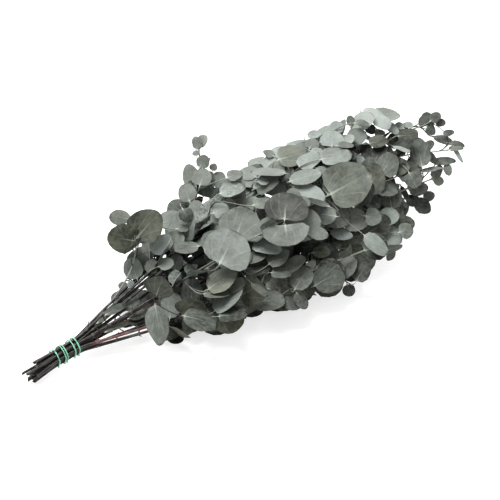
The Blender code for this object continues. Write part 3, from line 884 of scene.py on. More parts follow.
@dataclass
class ShootPlacer:
    """Finds how each side shoot runs, with the leaves on it."""

    leaves: LeafPlacer
    radius: float = 0.0010
    tip_radius: float = 0.0008
    turn: float = 0.9
    loosening: float = 0.1
    first_way: Pair = (0.75, 0.65)
    last_way: Pair = (0.95, 0.30)
    steps: int = 4

    def run(self, site: Vector, heading: Vector, length: float, attempt: int, draw: Random) -> Route:
        """A side shoot's run: out of the stem, then bending forwards."""
        out = self.leaves.outward(site, heading)
        turn = draw.uniform(-self.turn, self.turn) * (1 + attempt * self.loosening)
        spread = around(heading, out, turn)
        first, last = [(heading * a + spread * b).normalized() for a, b in (self.first_way, self.last_way)]
        points = [site]
        for k in range(self.steps):
            step = first.lerp(last, k / (self.steps - 1)).normalized()
            points.append(points[-1] + step * length / self.steps)
        change = self.tip_radius - self.radius
        radii = [self.radius + change * k / self.steps for k in range(self.steps + 1)]
        return Route(points, radii)

    def leaves_on(self, kind: ShootKind, stem: Stem, run: Route, number: int) -> list[Leaf]:
        """The leaf pairs of one side shoot, smaller from pair to pair."""
        found = []
        slim = kind.slim[0] + kind.slim[1] * stem.slim
        for pair, part in enumerate(kind.pairs):
            place, way, _ = run.at(part)
            size = stem.leaf * (kind.leaf - kind.leaf_step * pair)
            closed = kind.tip_closed if pair == len(kind.pairs) - 1 else 1.0
            seed = kind.first_number + 10 * number + pair
            joint = Joint(stem.name, place, way, seed, size, slim, closed, kind.shade)
            found += self.leaves.pair_leaves(joint)
        return found

    def grow(self, kind: ShootKind, stem: Stem, route: Route, count: int) -> tuple[list[Route], list[Leaf]]:
        """Adds a stem's side shoots of one kind, each in the first way that is clear.

        Args:
            kind: The kind of side shoot.
            stem: The stem that carries them.
            route: The stem's run.
            count: How many the stem has at most.

        Returns:
            The runs of the side shoots, and their leaves.
        """
        runs, found = [], []
        bunch = self.leaves.bunch
        for number in range(count):
            group = f"{stem.name}/{kind.name}{number}"
            draw = Random(group)
            start = stem.bare - kind.lead
            share = start + (kind.end - start) * (number + draw.uniform(*kind.places)) / count
            site, heading, _ = route.at(share)
            length = draw.uniform(*kind.lengths)
            for attempt in range(self.leaves.tries):
                run = self.run(site, heading, length * kind.shrink**attempt, attempt, draw)
                if bunch.clear(group, run.shell(), stem.name):
                    bunch.add(stem.name, run.shell())
                    runs.append(run)
                    found += self.leaves_on(kind, stem, run, number)
                    break
        return runs, found


@dataclass
class GrownStem:
    """One stem with all that grows on it."""

    stem: Stem
    route: Route
    joints: list[float]
    leaves: list[Leaf]
    shoots: list[Route]
    small: list[Route] = field(default_factory=list)
    twigs: list[Route] = field(default_factory=list)


Site = tuple[GrownStem, Vector, Vector]


@dataclass
class ShownPlacer:
    """Places the leaves that show in front, each just over what is behind it, on a twig from a near stem."""

    bunch: Bunch
    grown: list[GrownStem]
    view: PhotoView = field(default_factory=PhotoView)
    blade: PlainBlade = field(default_factory=PlainBlade)
    lead: float = 0.16
    end: float = 0.97
    parts: int = 40
    shoot_parts: tuple[float, ...] = (0.3, 0.5, 0.7, 0.9)
    twig_parts: tuple[float, ...] = (0.4, 0.75)
    fold_share: float = 0.5
    behind_stem: float = 0.006
    lift: float = 0.0008
    step: float = 0.0012
    steps: int = 34
    far: float = 0.4
    longest: float = 0.058
    carriers: int = 90
    longest_twig: float = 0.050
    twig_radius: float = 0.0008
    twig_taper: float = 0.05
    twig_steps: int = 5
    costs: Triple = (2.4, 0.9, 0.5)
    scales: tuple[float, ...] = (1.0, 0.92, 0.92, 0.78, 0.7)
    tips: tuple[float, ...] = (0.0, 0.35, -0.35, 0.0, 0.5)
    bends: tuple[Pair, ...] = ((0.35, 0.30), (0.70, 0.10), (0.10, 0.60))

    def __post_init__(self) -> None:
        """Lists the places on stems and side shoots that may carry a twig."""
        self.sites = []
        for each in self.grown:
            start = each.stem.bare - self.lead
            shares = [start + (self.end - start) * k / self.parts for k in range(self.parts + 1)]
            self.sites += self.sites_on(each, each.route, shares)
            for shoot in each.shoots:
                self.sites += self.sites_on(each, shoot, self.shoot_parts)

    @staticmethod
    def sites_on(each: GrownStem, run: Route, shares: Iterable[float]) -> list[Site]:
        """The places at some shares of a run, each with its stem and the heading there."""
        return [(each, *run.at(share)[:2]) for share in shares]

    def leaf(self, number: int, shown: Shown, depth: float) -> Leaf:
        """The leaf at a depth towards the camera, so that it looks as the photograph shows it."""
        right, up, back = self.view.axes
        face = (back * (1 - shown.lie) + Vector((0, 0, shown.lie)) + right * shown.lean).normalized()
        turn = radians(shown.heading)
        midrib = right * cos(turn) + up * sin(turn)
        midrib -= back * (midrib.dot(face) / back.dot(face))
        length = min(shown.length * self.view.pixel * midrib.length, self.longest)
        midrib.normalize()
        across = face.cross(midrib)
        flat = (across - back * across.dot(back)).length
        width = min(shown.width * self.view.pixel / flat, self.longest)
        root = self.view.place(shown.x, shown.y, depth) - midrib * length / 2
        matrix = LeafPlacer.axes(root, midrib, face)
        points, fold = self.blade.side_points(length), self.blade.fold * self.fold_share
        tone = (shown.paleness, shown.olive, shown.crinkle)
        return Leaf(matrix, length, width, points, fold, f"shown{number}", tone=tone)

    def start_depth(self, shown: Shown) -> float:
        """The depth of what shows at the leaf's middle, or of the nearest stem where nothing does."""
        back = self.view.axes[2]
        under = self.bunch.front(self.view.place(shown.x, shown.y, self.far), back)
        if under is not None and under < self.far * 2:
            return self.far - under
        wanted = self.view.seen(self.view.place(shown.x, shown.y, 0)).xy
        seen = [self.view.seen(site) for _, site, _ in self.sites]
        return min(seen, key=lambda place: (place.xy - wanted).length).z - self.behind_stem

    def settle(self, number: int, shown: Shown) -> Leaf | None:
        """The leaf at the first depth where it crosses nothing, smaller or tipped where it finds none."""
        start = self.start_depth(shown) + self.lift
        room = self.blade.thickness + self.blade.clearance
        for scale, tip in zip(self.scales, self.tips):
            length, width = shown.length * scale, shown.width * scale
            changed = replace(shown, length=length, width=width, lie=shown.lie + tip)
            for k in range(self.steps):
                leaf = self.leaf(number, changed, start + k * self.step)
                shell = self.blade.shell(leaf, room, self.blade.clearance / 2)
                if self.bunch.clear(leaf.site, shell, ""):
                    return leaf
        return None

    def twig(self, site: Vector, heading: Vector, leaf: Leaf, bend: Pair) -> Route:
        """A short side shoot from a place on a stem to the leaf's root, bent by two shares of its length."""
        root, midrib = leaf.matrix.translation, leaf.matrix.to_3x3().col[0]
        reach = (root - site).length
        control = (site, site + heading * reach * bend[0], root - midrib * reach * bend[1], root)
        steps = range(self.twig_steps + 1)
        points = [StemLine.bezier(control, k / self.twig_steps) for k in steps]
        return Route(points, [self.twig_radius * (1 - self.twig_taper * k) for k in steps])

    def carry(self, leaf: Leaf) -> bool:
        """Gives the leaf a twig from the nearest place whose twig crosses nothing.

        Args:
            leaf: The leaf, in its place.

        Returns:
            True if such a place was found.
        """
        root = leaf.matrix.translation
        midrib = leaf.matrix.to_3x3().col[0]
        base, for_leaf, for_stem = self.costs

        def cost(place: Site) -> float:
            """The twig's length, more where it would have to turn."""
            run = root - place[1]
            along = run.normalized()
            return run.length * (base - for_leaf * along.dot(midrib) - for_stem * along.dot(place[2]))

        near = [place for place in self.sites if (root - place[1]).length < self.longest_twig]
        near = sorted(near, key=cost)[: self.carriers]
        for (each, site, heading), bend in ((place, bend) for bend in self.bends for place in near):
            twig = self.twig(site, heading, leaf, bend)
            if self.bunch.clear(leaf.site, twig.shell(5), each.stem.name):
                named = replace(leaf, site=f"{each.stem.name}/{leaf.site}")
                self.bunch.add(named.site, self.blade.shell(leaf, self.blade.thickness), named.site)
                self.bunch.add(each.stem.name, twig.shell(5))
                self.sites += self.sites_on(each, twig, self.twig_parts)
                each.leaves.append(named)
                each.twigs.append(twig)
                return True
        return False

    def place_all(self) -> list[Leaf]:
        """Places every leaf of the list that finds both a place and a twig, and returns those."""
        found = []
        for number, shown in enumerate(SHOWN):
            leaf = self.settle(number, shown)
            if leaf is None or not self.carry(leaf):
                log.info("no place for the shown leaf %d at %d, %d", number, shown.x, shown.y)
                continue
            found.append(leaf)
        return found


@dataclass
class Undergrowth:
    """The leaves and small side shoots that thicken the head wherever it has room."""

    shoots: ShootPlacer
    leaf_share: float = 0.84
    ripest: float = 0.82
    tilt: float = 0.42
    tip_shrink: float = 0.30
    first_row: tuple[float, int] = (0.5, 101)
    later_rows: tuple[tuple[float, int], ...] = ((0.25, 401), (0.75, 501))

    def between_joints(self, grown: GrownStem, part: float, first: int) -> list[Leaf]:
        """Leaf pairs between the stem's joints.

        Args:
            grown: The stem with what grows on it.
            part: How far from one joint to the next they are.
            first: The number of the first pair.

        Returns:
            The leaves that have room.
        """
        stem, found = grown.stem, []
        for number, (low, high) in enumerate(zip(grown.joints, grown.joints[1:])):
            site, heading, _ = grown.route.at(low + (high - low) * part)
            ripe = (number + part) / (len(grown.joints) - 1)
            if ripe > self.ripest:
                break
            size = stem.leaf * self.leaf_share * (1 - self.tip_shrink * ripe**4)
            slim = stem.slimness(ripe)
            joint = Joint(stem.name, site, heading, first + number, size, slim, shade=INNER_PAINTED_SHADE)
            found += self.shoots.leaves.pair_leaves(joint)
        return found

    def thicken(self, grown: GrownStem) -> None:
        """Adds to one stem what has room on it."""
        grown.leaves += self.between_joints(grown, *self.first_row)
        runs, more = self.shoots.grow(SMALL_SHOOT, grown.stem, grown.route, grown.stem.sprigs)
        grown.small += runs
        grown.leaves += more
        for row in self.later_rows:
            grown.leaves += self.between_joints(grown, *row)


@dataclass
class Growth:
    """The whole bunch as lines and leaf places, in the order of the solids."""

    binding: Binding = field(default_factory=Binding)
    line: StemLine = field(default_factory=StemLine)
    bunch: Bunch = field(default_factory=Bunch)
    coarse_turn: int = 13
    last_joint: float = 0.988
    crowding: float = 0.94
    broad_from: float = 0.85
    broad_shrink: float = 0.20
    slim_shrink: float = 0.45
    tip_closing: float = 0.45
    sky_rays: int = 13
    sky_low: float = 0.15
    sky_rise: float = 0.83
    sky_turn: float = 2.4
    sky_reach: float = 0.055
    # Painted shade: how much darker a leaf's colour gets where other leaves keep the sky from it
    sky_cover_painted_shade: float = 0.50

    def __post_init__(self) -> None:
        """Packs the stems and lays them out."""
        self.places = self.binding.packed_places()
        self.routes = {
            stem.name: self.line.route(stem, place, self.binding) for stem, place in zip(STEMS, self.places)
        }

    def joint_shares(self, stem: Stem) -> list[float]:
        """Shares of the run where leaf pairs grow, closer together towards the tip."""
        steps = [(k / (stem.pairs - 1)) ** self.crowding for k in range(stem.pairs)]
        return [stem.bare + (self.last_joint - stem.bare) * step for step in steps]

    def grow_stem(self, stem: Stem, leaves: LeafPlacer, heroes: list[Leaf]) -> GrownStem:
        """Places the leaf pairs and side shoots of one stem, next to the largest leaves that it carries."""
        route = self.routes[stem.name]
        joints = self.joint_shares(stem)
        shrink = self.broad_shrink if stem.slim > self.broad_from else self.slim_shrink
        found = list(heroes)
        for pair, share in enumerate(joints):
            site, heading, _ = route.at(share)
            ripe = pair / (len(joints) - 1)
            size = stem.leaf * (1 - shrink * ripe**4)
            closed = 1.0 - self.tip_closing * ripe**3
            joint = Joint(stem.name, site, heading, pair, size, stem.slimness(ripe), closed)
            found += leaves.pair_leaves(joint)
        runs, more = ShootPlacer(leaves).grow(LONG_SHOOT, stem, route, stem.shoots)
        return GrownStem(stem, route, joints, found + more, runs)

    def grow(self, limits: tuple[Vector, Vector]) -> list[GrownStem]:
        """Places every leaf and side shoot, stem after stem.

        Args:
            limits: The lowest and highest corner that what is added to the solids keeps to.

        Returns:
            The stems with all that grows on them.
        """
        for name, route in self.routes.items():
            self.bunch.add(name, route.shell())
        self.bunch.add("twine", self.binding.twine_route(self.places, self.coarse_turn).shell())
        leaves = LeafPlacer(self.bunch)
        heroes = leaves.hero_leaves(self.routes)
        grown = [self.grow_stem(stem, leaves, heroes[stem.name]) for stem in STEMS]
        self.bunch.limits = limits
        view = PhotoView()
        uncovered = [f"{hero.stem}/hero{number}" for number, hero in enumerate(HEROES) if hero.in_front]
        in_front = [leaf for each in grown for leaf in each.leaves if leaf.site in uncovered]
        self.bunch.shields = Shields(in_front, view.axes[2])
        in_front += ShownPlacer(self.bunch, grown, view).place_all()
        self.bunch.shields = Shields(in_front, view.axes[2])
        undergrowth = Undergrowth(ShootPlacer(LeafPlacer(self.bunch, tilt=Undergrowth.tilt)))
        for each in grown:
            undergrowth.thicken(each)
        self.bunch.shields = None
        sky = self.sky()
        for each in grown:
            each.leaves = [self.sheltered(leaf, sky) for leaf in each.leaves]
        return grown

    def sky(self) -> list[Vector]:
        """Ways up to the sky, spread all round."""
        rays = []
        for k in range(self.sky_rays):
            height = self.sky_low + self.sky_rise * k / (self.sky_rays - 1)
            turn, side = self.sky_turn * k, sqrt(1 - height * height)
            rays.append(Vector((side * cos(turn), side * sin(turn), height)))
        return rays

    def sheltered(self, leaf: Leaf, sky: list[Vector]) -> Leaf:
        """The leaf with painted shade: its colour darker where others keep the sky from it."""
        if leaf.tone:
            return leaf
        middle = leaf.matrix @ Vector((leaf.length / 2, 0, 0))
        covered = self.bunch.shelter(middle, sky, self.sky_reach)
        # Painted shade: darker with the square of the share of sky rays that other leaves stop
        return replace(leaf, shade=leaf.shade + self.sky_cover_painted_shade * covered**2)


class Value:
    """A number in a material, from a node's socket. Arithmetic on it adds Math nodes."""

    def __init__(self, sheet: Sheet, socket: Socket) -> None:
        """Wraps a socket of the sheet's tree."""
        self.sheet = sheet
        self.socket = socket

    def math(self, operation: str, *others: Value | float, first: Value | float | None = None) -> Value:
        """Adds one Math node.

        Args:
            operation: The node's operation.
            others: The operands after the first.
            first: The first operand, where it isn't this value.

        Returns:
            The result.
        """
        operands = (self if first is None else first, *others)
        node = self.sheet.node("ShaderNodeMath", {"operation": operation}, dict(enumerate(operands)))
        return Value(self.sheet, node.outputs[0])

    def __add__(self, other: Value | float) -> Value:
        """Sum."""
        return self.math("ADD", other)

    def __sub__(self, other: Value | float) -> Value:
        """Difference."""
        return self.math("SUBTRACT", other)

    def __rsub__(self, other: Value | float) -> Value:
        """Difference from a number."""
        return self.math("SUBTRACT", self, first=other)

    def __mul__(self, other: Value | float) -> Value:
        """Product."""
        return self.math("MULTIPLY", other)

    def __abs__(self) -> Value:
        """Size without sign."""
        return self.math("ABSOLUTE")

    __radd__ = __add__
    __rmul__ = __mul__

    def fraction(self) -> Value:
        """What is left over a whole number."""
        return self.math("FRACT")

    def step(self, low: float, high: float) -> Value:
        """A smooth step from 0 at low to 1 at high, which may also be the smaller."""
        node = self.sheet.node(
            "ShaderNodeMapRange",
            {"interpolation_type": "SMOOTHSTEP"},
            {"Value": self, "From Min": low, "From Max": high, "To Min": 0.0, "To Max": 1.0},
        )
        return Value(self.sheet, node.outputs["Result"])


Input = Value | Socket | float | tuple[float, ...]


class Sheet:
    """A material while its nodes are laid out."""

    def __init__(self, name: str) -> None:
        """Starts a material that holds only a Principled shader."""
        self.material = bpy.data.materials.new(name)
        self.material.use_nodes = True
        self.tree = self.material.node_tree
        self.shader = self.tree.nodes["Principled BSDF"]

    def node(self, kind: str, settings: dict[str, object], sockets: dict[str | int, Input]) -> bpy.types.Node:
        """Adds a node.

        Args:
            kind: The node's type.
            settings: The node's own settings, and "stops" for the stops of a ramp.
            sockets: What its sockets take, by name or number.

        Returns:
            The node.
        """
        made = self.tree.nodes.new(kind)
        for key, setting in settings.items():
            if key == "stops":
                self.set_stops(made.color_ramp, setting)
            else:
                setattr(made, key, setting)
        for key, given in sockets.items():
            self.feed(made.inputs[key], given)
        return made

    @staticmethod
    def set_stops(ramp: bpy.types.ColorRamp, stops: tuple[tuple[float, Triple], ...]) -> None:
        """Gives a ramp its stops, each a place and a colour."""
        while len(ramp.elements) < len(stops):
            ramp.elements.new(1.0)
        for element, (place, colour) in zip(ramp.elements, stops):
            element.position = place
            element.color = (*colour, 1.0)

    def feed(self, socket: Socket, given: Input) -> None:
        """Links a socket, or sets it where it takes a number or a colour."""
        if isinstance(given, Value):
            self.tree.links.new(given.socket, socket)
        elif isinstance(given, Socket):
            self.tree.links.new(given, socket)
        elif isinstance(given, tuple) and socket.type == "RGBA":
            socket.default_value = (*given, 1.0)
        else:
            socket.default_value = given

    def dress(self, **sockets: Input) -> Material:
        """Feeds the shader's sockets, named with _ for a space, and returns the material."""
        for key, given in sockets.items():
            self.feed(self.shader.inputs[key.replace("_", " ")], given)
        return self.material

    def attribute(self, name: str) -> Value:
        """A number that the mesh keeps for each of its points."""
        return Value(self, self.node("ShaderNodeAttribute", {"attribute_name": name}, {}).outputs["Fac"])

    def uv(self) -> tuple[Value, Value]:
        """The two coordinates of the piece's own UV map."""
        made = self.node("ShaderNodeUVMap", {"uv_map": "UVMap"}, {})
        parts = self.node("ShaderNodeSeparateXYZ", {}, {0: made.outputs[0]})
        return Value(self, parts.outputs[0]), Value(self, parts.outputs[1])

    def place(self) -> Socket:
        """Object coordinates."""
        return self.node("ShaderNodeTexCoord", {}, {}).outputs["Object"]

    def point(self, x: Input, y: Input, z: Input) -> Socket:
        """Three numbers as one vector."""
        return self.node("ShaderNodeCombineXYZ", {}, {0: x, 1: y, 2: z}).outputs[0]

    def noise(self, vector: Socket, scale: float, detail: float = 2.0) -> Value:
        """Smooth noise from 0 to 1, with scale features a metre."""
        made = self.node(
            "ShaderNodeTexNoise", {}, {"Vector": vector, "Scale": scale, "Detail": detail, "Roughness": 0.6}
        )
        return Value(self, made.outputs["Fac"])

    def cells(self, vector: Socket, scale: float) -> Value:
        """Distance to the nearest border of a net of cells, for the finest veins."""
        made = self.node(
            "ShaderNodeTexVoronoi", {"feature": "DISTANCE_TO_EDGE"}, {"Vector": vector, "Scale": scale}
        )
        return Value(self, made.outputs["Distance"])

    def mix(self, share: Input, first: Input, second: Input) -> Socket:
        """A colour between two, by share."""
        made = self.node(
            "ShaderNodeMix", {"data_type": "RGBA", "clamp_factor": True}, {0: share, 6: first, 7: second}
        )
        return made.outputs[2]

    def ramp(self, share: Value, stops: tuple[tuple[float, Triple], ...]) -> Socket:
        """A colour from a ramp."""
        return self.node("ShaderNodeValToRGB", {"stops": stops}, {"Fac": share}).outputs["Color"]

    def bump(self, height: Value, distance: float, strength: float) -> Socket:
        """The normal that a height gives."""
        made = self.node("ShaderNodeBump", {}, {"Height": height, "Distance": distance, "Strength": strength})
        return made.outputs["Normal"]


@dataclass(frozen=True)
class LeafFinish:
    """Waxy round leaves: grey green with a patchy bloom, a pale midrib and faint side veins."""

    deep: Triple = (0.016, 0.019, 0.015)
    middle: Triple = (0.120, 0.132, 0.116)
    waxy: Triple = (0.205, 0.228, 0.212)
    palest: Triple = (0.310, 0.332, 0.315)
    olive: Triple = (0.130, 0.132, 0.088)
    vein: Triple = (0.360, 0.390, 0.335)
    speck: Triple = (0.060, 0.050, 0.036)
    roughness: float = 0.60
    bloom_scale: float = 62.0
    mottle_scale: float = 260.0
    wrinkle_scale: float = 330.0
    net_scale: float = 520.0
    speck_scale: float = 900.0
    speck_patch_scale: float = 130.0

    def make(self) -> Material:
        """Builds the material."""
        sheet = Sheet("eucalyptus_leaf")
        along, side = sheet.uv()
        place = sheet.place()
        across = abs(side - 0.5) * 2.0
        bloom = sheet.noise(place, self.bloom_scale).step(0.30, 0.70)
        mottle = sheet.noise(place, self.mottle_scale, 4.0).step(0.30, 0.70)
        crinkle = sheet.attribute("crinkle")
        wrinkles = sheet.noise(place, self.wrinkle_scale, 4.0)
        midrib = (across - 0.030 * (1.25 - along)).step(0.022, 0.0)
        rays = (side - 0.5).math("ARCTAN2", along + 0.10) * 3.4 + across * along * 0.9 + (bloom - 0.5) * 0.22
        lines = abs(rays.fraction() - 0.5) * 2.0
        side_veins = lines.step(0.82, 1.0) * across.step(1.0, 0.55) * across.step(0.0, 0.10)
        net = sheet.cells(place, self.net_scale).step(0.06, 0.0)
        junction = along.step(0.20, 0.04) * across.step(0.42, 0.06)
        tone = sheet.attribute("paleness") + (bloom - 0.5) * 0.14 + (mottle - 0.5) * 0.15
        tone = tone + crinkle * (wrinkles.step(0.36, 0.62) * 0.46 - 0.16)
        rim = across.math("MAXIMUM", (along - 0.5) * 2.0).step(0.91, 1.0)
        tone = tone + side_veins * 0.05 + along.step(0.45, 0.0) * 0.10 - rim * 0.26
        colour = sheet.ramp(
            tone, ((0.0, self.deep), (0.36, self.middle), (0.66, self.waxy), (1.0, self.palest))
        )
        colour = sheet.mix(sheet.attribute("olive") * (0.25 + bloom * 0.5), colour, self.olive)
        specks = sheet.noise(place, self.speck_scale, 1.0).step(0.63, 0.70)
        speckled = sheet.noise(place, self.speck_patch_scale, 1.0).step(0.42, 0.58)
        colour = sheet.mix(specks * speckled * 0.60, colour, self.speck)
        fade = along.step(0.70, 0.05) * 0.40 + 0.04
        colour = sheet.mix(midrib * fade + junction * 0.45 + side_veins * 0.12, colour, self.vein)
        height = midrib * 0.5 + side_veins * 0.30 + net * 0.14 + mottle * 0.30 + wrinkles * crinkle * 3.2
        return sheet.dress(
            Base_Color=colour,
            Roughness=self.roughness + (mottle - 0.5) * 0.30 - midrib * 0.06,
            Normal=sheet.bump(height, 0.0006, 0.55),
            Specular_IOR_Level=0.35,
        )


@dataclass(frozen=True)
class BarkFinish:
    """Thin bark: nearly black at the cut ends, pale and green towards the tips, some stems dark red. Its pale
    streaks are partly wear and partly painted highlight.
    """

    dark: Triple = (0.009, 0.008, 0.007)
    worn: Triple = (0.170, 0.165, 0.150)
    maroon: Triple = (0.110, 0.034, 0.032)
    young: Triple = (0.270, 0.290, 0.245)
    roughness: float = 0.38

    def make(self) -> Material:
        """Builds the material."""
        sheet = Sheet("eucalyptus_bark")
        along, around = sheet.uv()
        share = sheet.attribute("share")
        fibre = sheet.noise(sheet.point(along * 55.0, around * 9.0, 0.0), 1.0, 4.0)
        grain = sheet.noise(sheet.point(along * 420.0, around * 26.0, 0.0), 1.0, 3.0)
        patch = sheet.noise(sheet.place(), 90.0, 2.0)
        # Pale streaks along the fibre: partly worn bark, partly painted highlight along the stems
        colour = sheet.mix(fibre.step(0.52, 0.70) * 0.75, self.dark, self.worn)
        red = sheet.attribute("maroon") * share.step(0.16, 0.22) * share.step(0.50, 0.40)
        colour = sheet.mix(red * patch.step(0.30, 0.55) * 0.85, colour, self.maroon)
        colour = sheet.mix(share.step(0.42, 0.80) * (0.55 + patch * 0.5), colour, self.young)
        colour = sheet.mix(sheet.attribute("scar") * 0.5, colour, self.worn)
        height = fibre * 0.9 + grain * 0.4
        return sheet.dress(
            Base_Color=colour,
            Roughness=self.roughness + (grain - 0.5) * 0.25 + sheet.attribute("scar") * 0.2,
            Normal=sheet.bump(height, 0.0004, 0.6),
            Specular_IOR_Level=0.35,
        )


@dataclass(frozen=True)
class CutWoodFinish:
    """The slanted cuts: greyed wood with a darker heart."""

    wood: Triple = (0.085, 0.070, 0.055)
    heart: Triple = (0.030, 0.022, 0.017)

    def make(self) -> Material:
        """Builds the material."""
        sheet = Sheet("eucalyptus_cut_wood")
        place = sheet.place()
        rays = sheet.noise(place, 1500.0, 3.0)
        colour = sheet.mix(rays.step(0.35, 0.70), self.heart, self.wood)
        return sheet.dress(Base_Color=colour, Roughness=0.85, Normal=sheet.bump(rays, 0.0003, 0.6))


@dataclass(frozen=True)
class TwineFinish:
    """Mint green plastic twine: a soft shine, with painted shade in the grooves of its lay and painted lit
    patches.
    """

    mint: Triple = (0.205, 0.490, 0.335)
    shade: Triple = (0.008, 0.085, 0.045)
    lit: Triple = (0.360, 0.620, 0.470)

    def make(self) -> Material:
        """Builds the material."""
        sheet = Sheet("twine_mint")
        along, around = sheet.uv()
        fibre = sheet.noise(sheet.point(along * 260.0, around * 7.0, 0.0), 1.0, 3.0)
        patch = sheet.noise(sheet.place(), 160.0, 2.0)
        # Painted shade: the grooves of the lay take the twine's shaded colour
        colour = sheet.mix(fibre.step(0.60, 0.34) * 0.70, self.mint, self.shade)
        # Painted light: lighter patches take the twine's lit colour
        colour = sheet.mix(patch.step(0.48, 0.72) * 0.6, colour, self.lit)
        return sheet.dress(
            Base_Color=colour,
            Roughness=0.34 + (fibre - 0.5) * 0.3,
            Normal=sheet.bump(fibre, 0.0002, 0.5),
        )


@dataclass(frozen=True)
class FloorFinish:
    """A plain pale floor that glows a little, as on a light table, so that its shadows stay pale."""

    colour: Triple = (0.50, 0.50, 0.50)
    roughness: float = 0.75
    glow: float = 0.56

    def make(self) -> Material:
        """Builds the material."""
        return Sheet("pale_floor").dress(
            Base_Color=self.colour,
            Roughness=self.roughness,
            Emission_Color=(1.0, 1.0, 1.0),
            Emission_Strength=self.glow,
        )


def deselect() -> None:
    """Leaves nothing selected."""
    bpy.ops.object.select_all(action="DESELECT")


def choose(*pieces: Piece) -> None:
    """Selects these pieces alone, the first one active."""
    deselect()
    for piece in pieces:
        piece.select_set(True)
    bpy.context.view_layer.objects.active = pieces[0]


def named(name: str) -> Piece:
    """The active piece, once it has its name."""
    piece = bpy.context.view_layer.objects.active
    piece.name = name
    return piece


@contextmanager
def editing(piece: Piece) -> Iterator[None]:
    """Edit mode on one piece, in vertex select mode, with all of it selected."""
    choose(piece)
    bpy.ops.object.mode_set(mode="EDIT")
    bpy.ops.mesh.select_mode(type="VERT")
    bpy.ops.mesh.select_all(action="SELECT")
    yield
    bpy.ops.object.mode_set(mode="OBJECT")


def select_points(piece: Piece, rule: Callable[[Vector], bool]) -> None:
    """Selects the points of a piece in edit mode by their place."""
    shape = bmesh.from_edit_mesh(piece.data)
    for face in shape.faces:
        face.select = False
    for vertex in shape.verts:
        vertex.select = rule(vertex.co)
    shape.select_flush(True)
    bmesh.update_edit_mesh(piece.data)


def give_attribute(mesh: Mesh, name: str, numbers: np.ndarray) -> None:
    """Keeps one number for each point of a mesh."""
    kept = mesh.attributes.get(name) or mesh.attributes.new(name, "FLOAT", "POINT")
    kept.data.foreach_set("value", np.asarray(numbers, np.float32))


def joined(name: str, pieces: list[Piece], smooth_below: float) -> Piece:
    """Joins pieces into one, named and smoothly shaded.

    Args:
        name: The joined piece's name.
        pieces: The pieces, the first of which stays.
        smooth_below: The angle between faces, in degrees, under which an edge is shaded round.

    Returns:
        The joined piece.
    """
    choose(*pieces)
    if len(pieces) > 1:
        bpy.ops.object.join()
    piece = named(name)
    piece.data.name = name
    bpy.ops.object.shade_smooth_by_angle(angle=radians(smooth_below))
    return piece


def hand_over(piece: Piece, slot: str, *nodes: str) -> None:
    """Lets a finished piece ride on the frame in place of its nodes, and reports it."""
    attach(piece, "root")
    if nodes:
        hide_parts(*nodes)
    log.info("%s: %d faces", piece.name, len(piece.data.polygons))


@dataclass(frozen=True)
class LeafForm:
    """How a leaf departs from flat. Every number is a share of its length, apart from the angles."""

    fold: float
    cup: float
    curl: float
    twist: float
    wave: float
    phase: float
    uneven: float
    egg: float
    point: float
    heart: float

    @classmethod
    def drawn(cls, leaf: Leaf) -> LeafForm:
        """The form that a leaf's own seeded draw gives."""
        draw = Random(f"{leaf.site}/form")
        if leaf.pressed:
            return cls(0.0, 0.0, 0.0, 0.0, 0.0, 0.0, draw.uniform(-0.05, 0.05), 0.06, 0.02, 0.0)
        calm = 0.5 if leaf.tone else 1.0
        broad = min(max(leaf.width / leaf.length - 0.75, 0.0), 0.6)
        return cls(
            fold=leaf.fold,
            cup=draw.uniform(-0.42, 0.34) * calm,
            curl=draw.uniform(-0.10, 0.26) * calm,
            twist=draw.uniform(-0.42, 0.42) * calm,
            wave=draw.uniform(0.0, 0.085) * calm,
            phase=draw.uniform(0, 2 * pi),
            uneven=draw.uniform(-0.10, 0.10),
            egg=draw.uniform(-0.04, 0.20) + broad * 0.30,
            point=draw.uniform(-0.01, 0.11),
            heart=draw.uniform(0.0, 0.10) + broad * 0.22,
        )

    def eased(self, share: float) -> LeafForm:
        """The same form with less cup, curl, twist and wave."""
        return replace(
            self,
            cup=self.cup * share,
            curl=self.curl * share,
            twist=self.twist * share,
            wave=self.wave * share,
        )


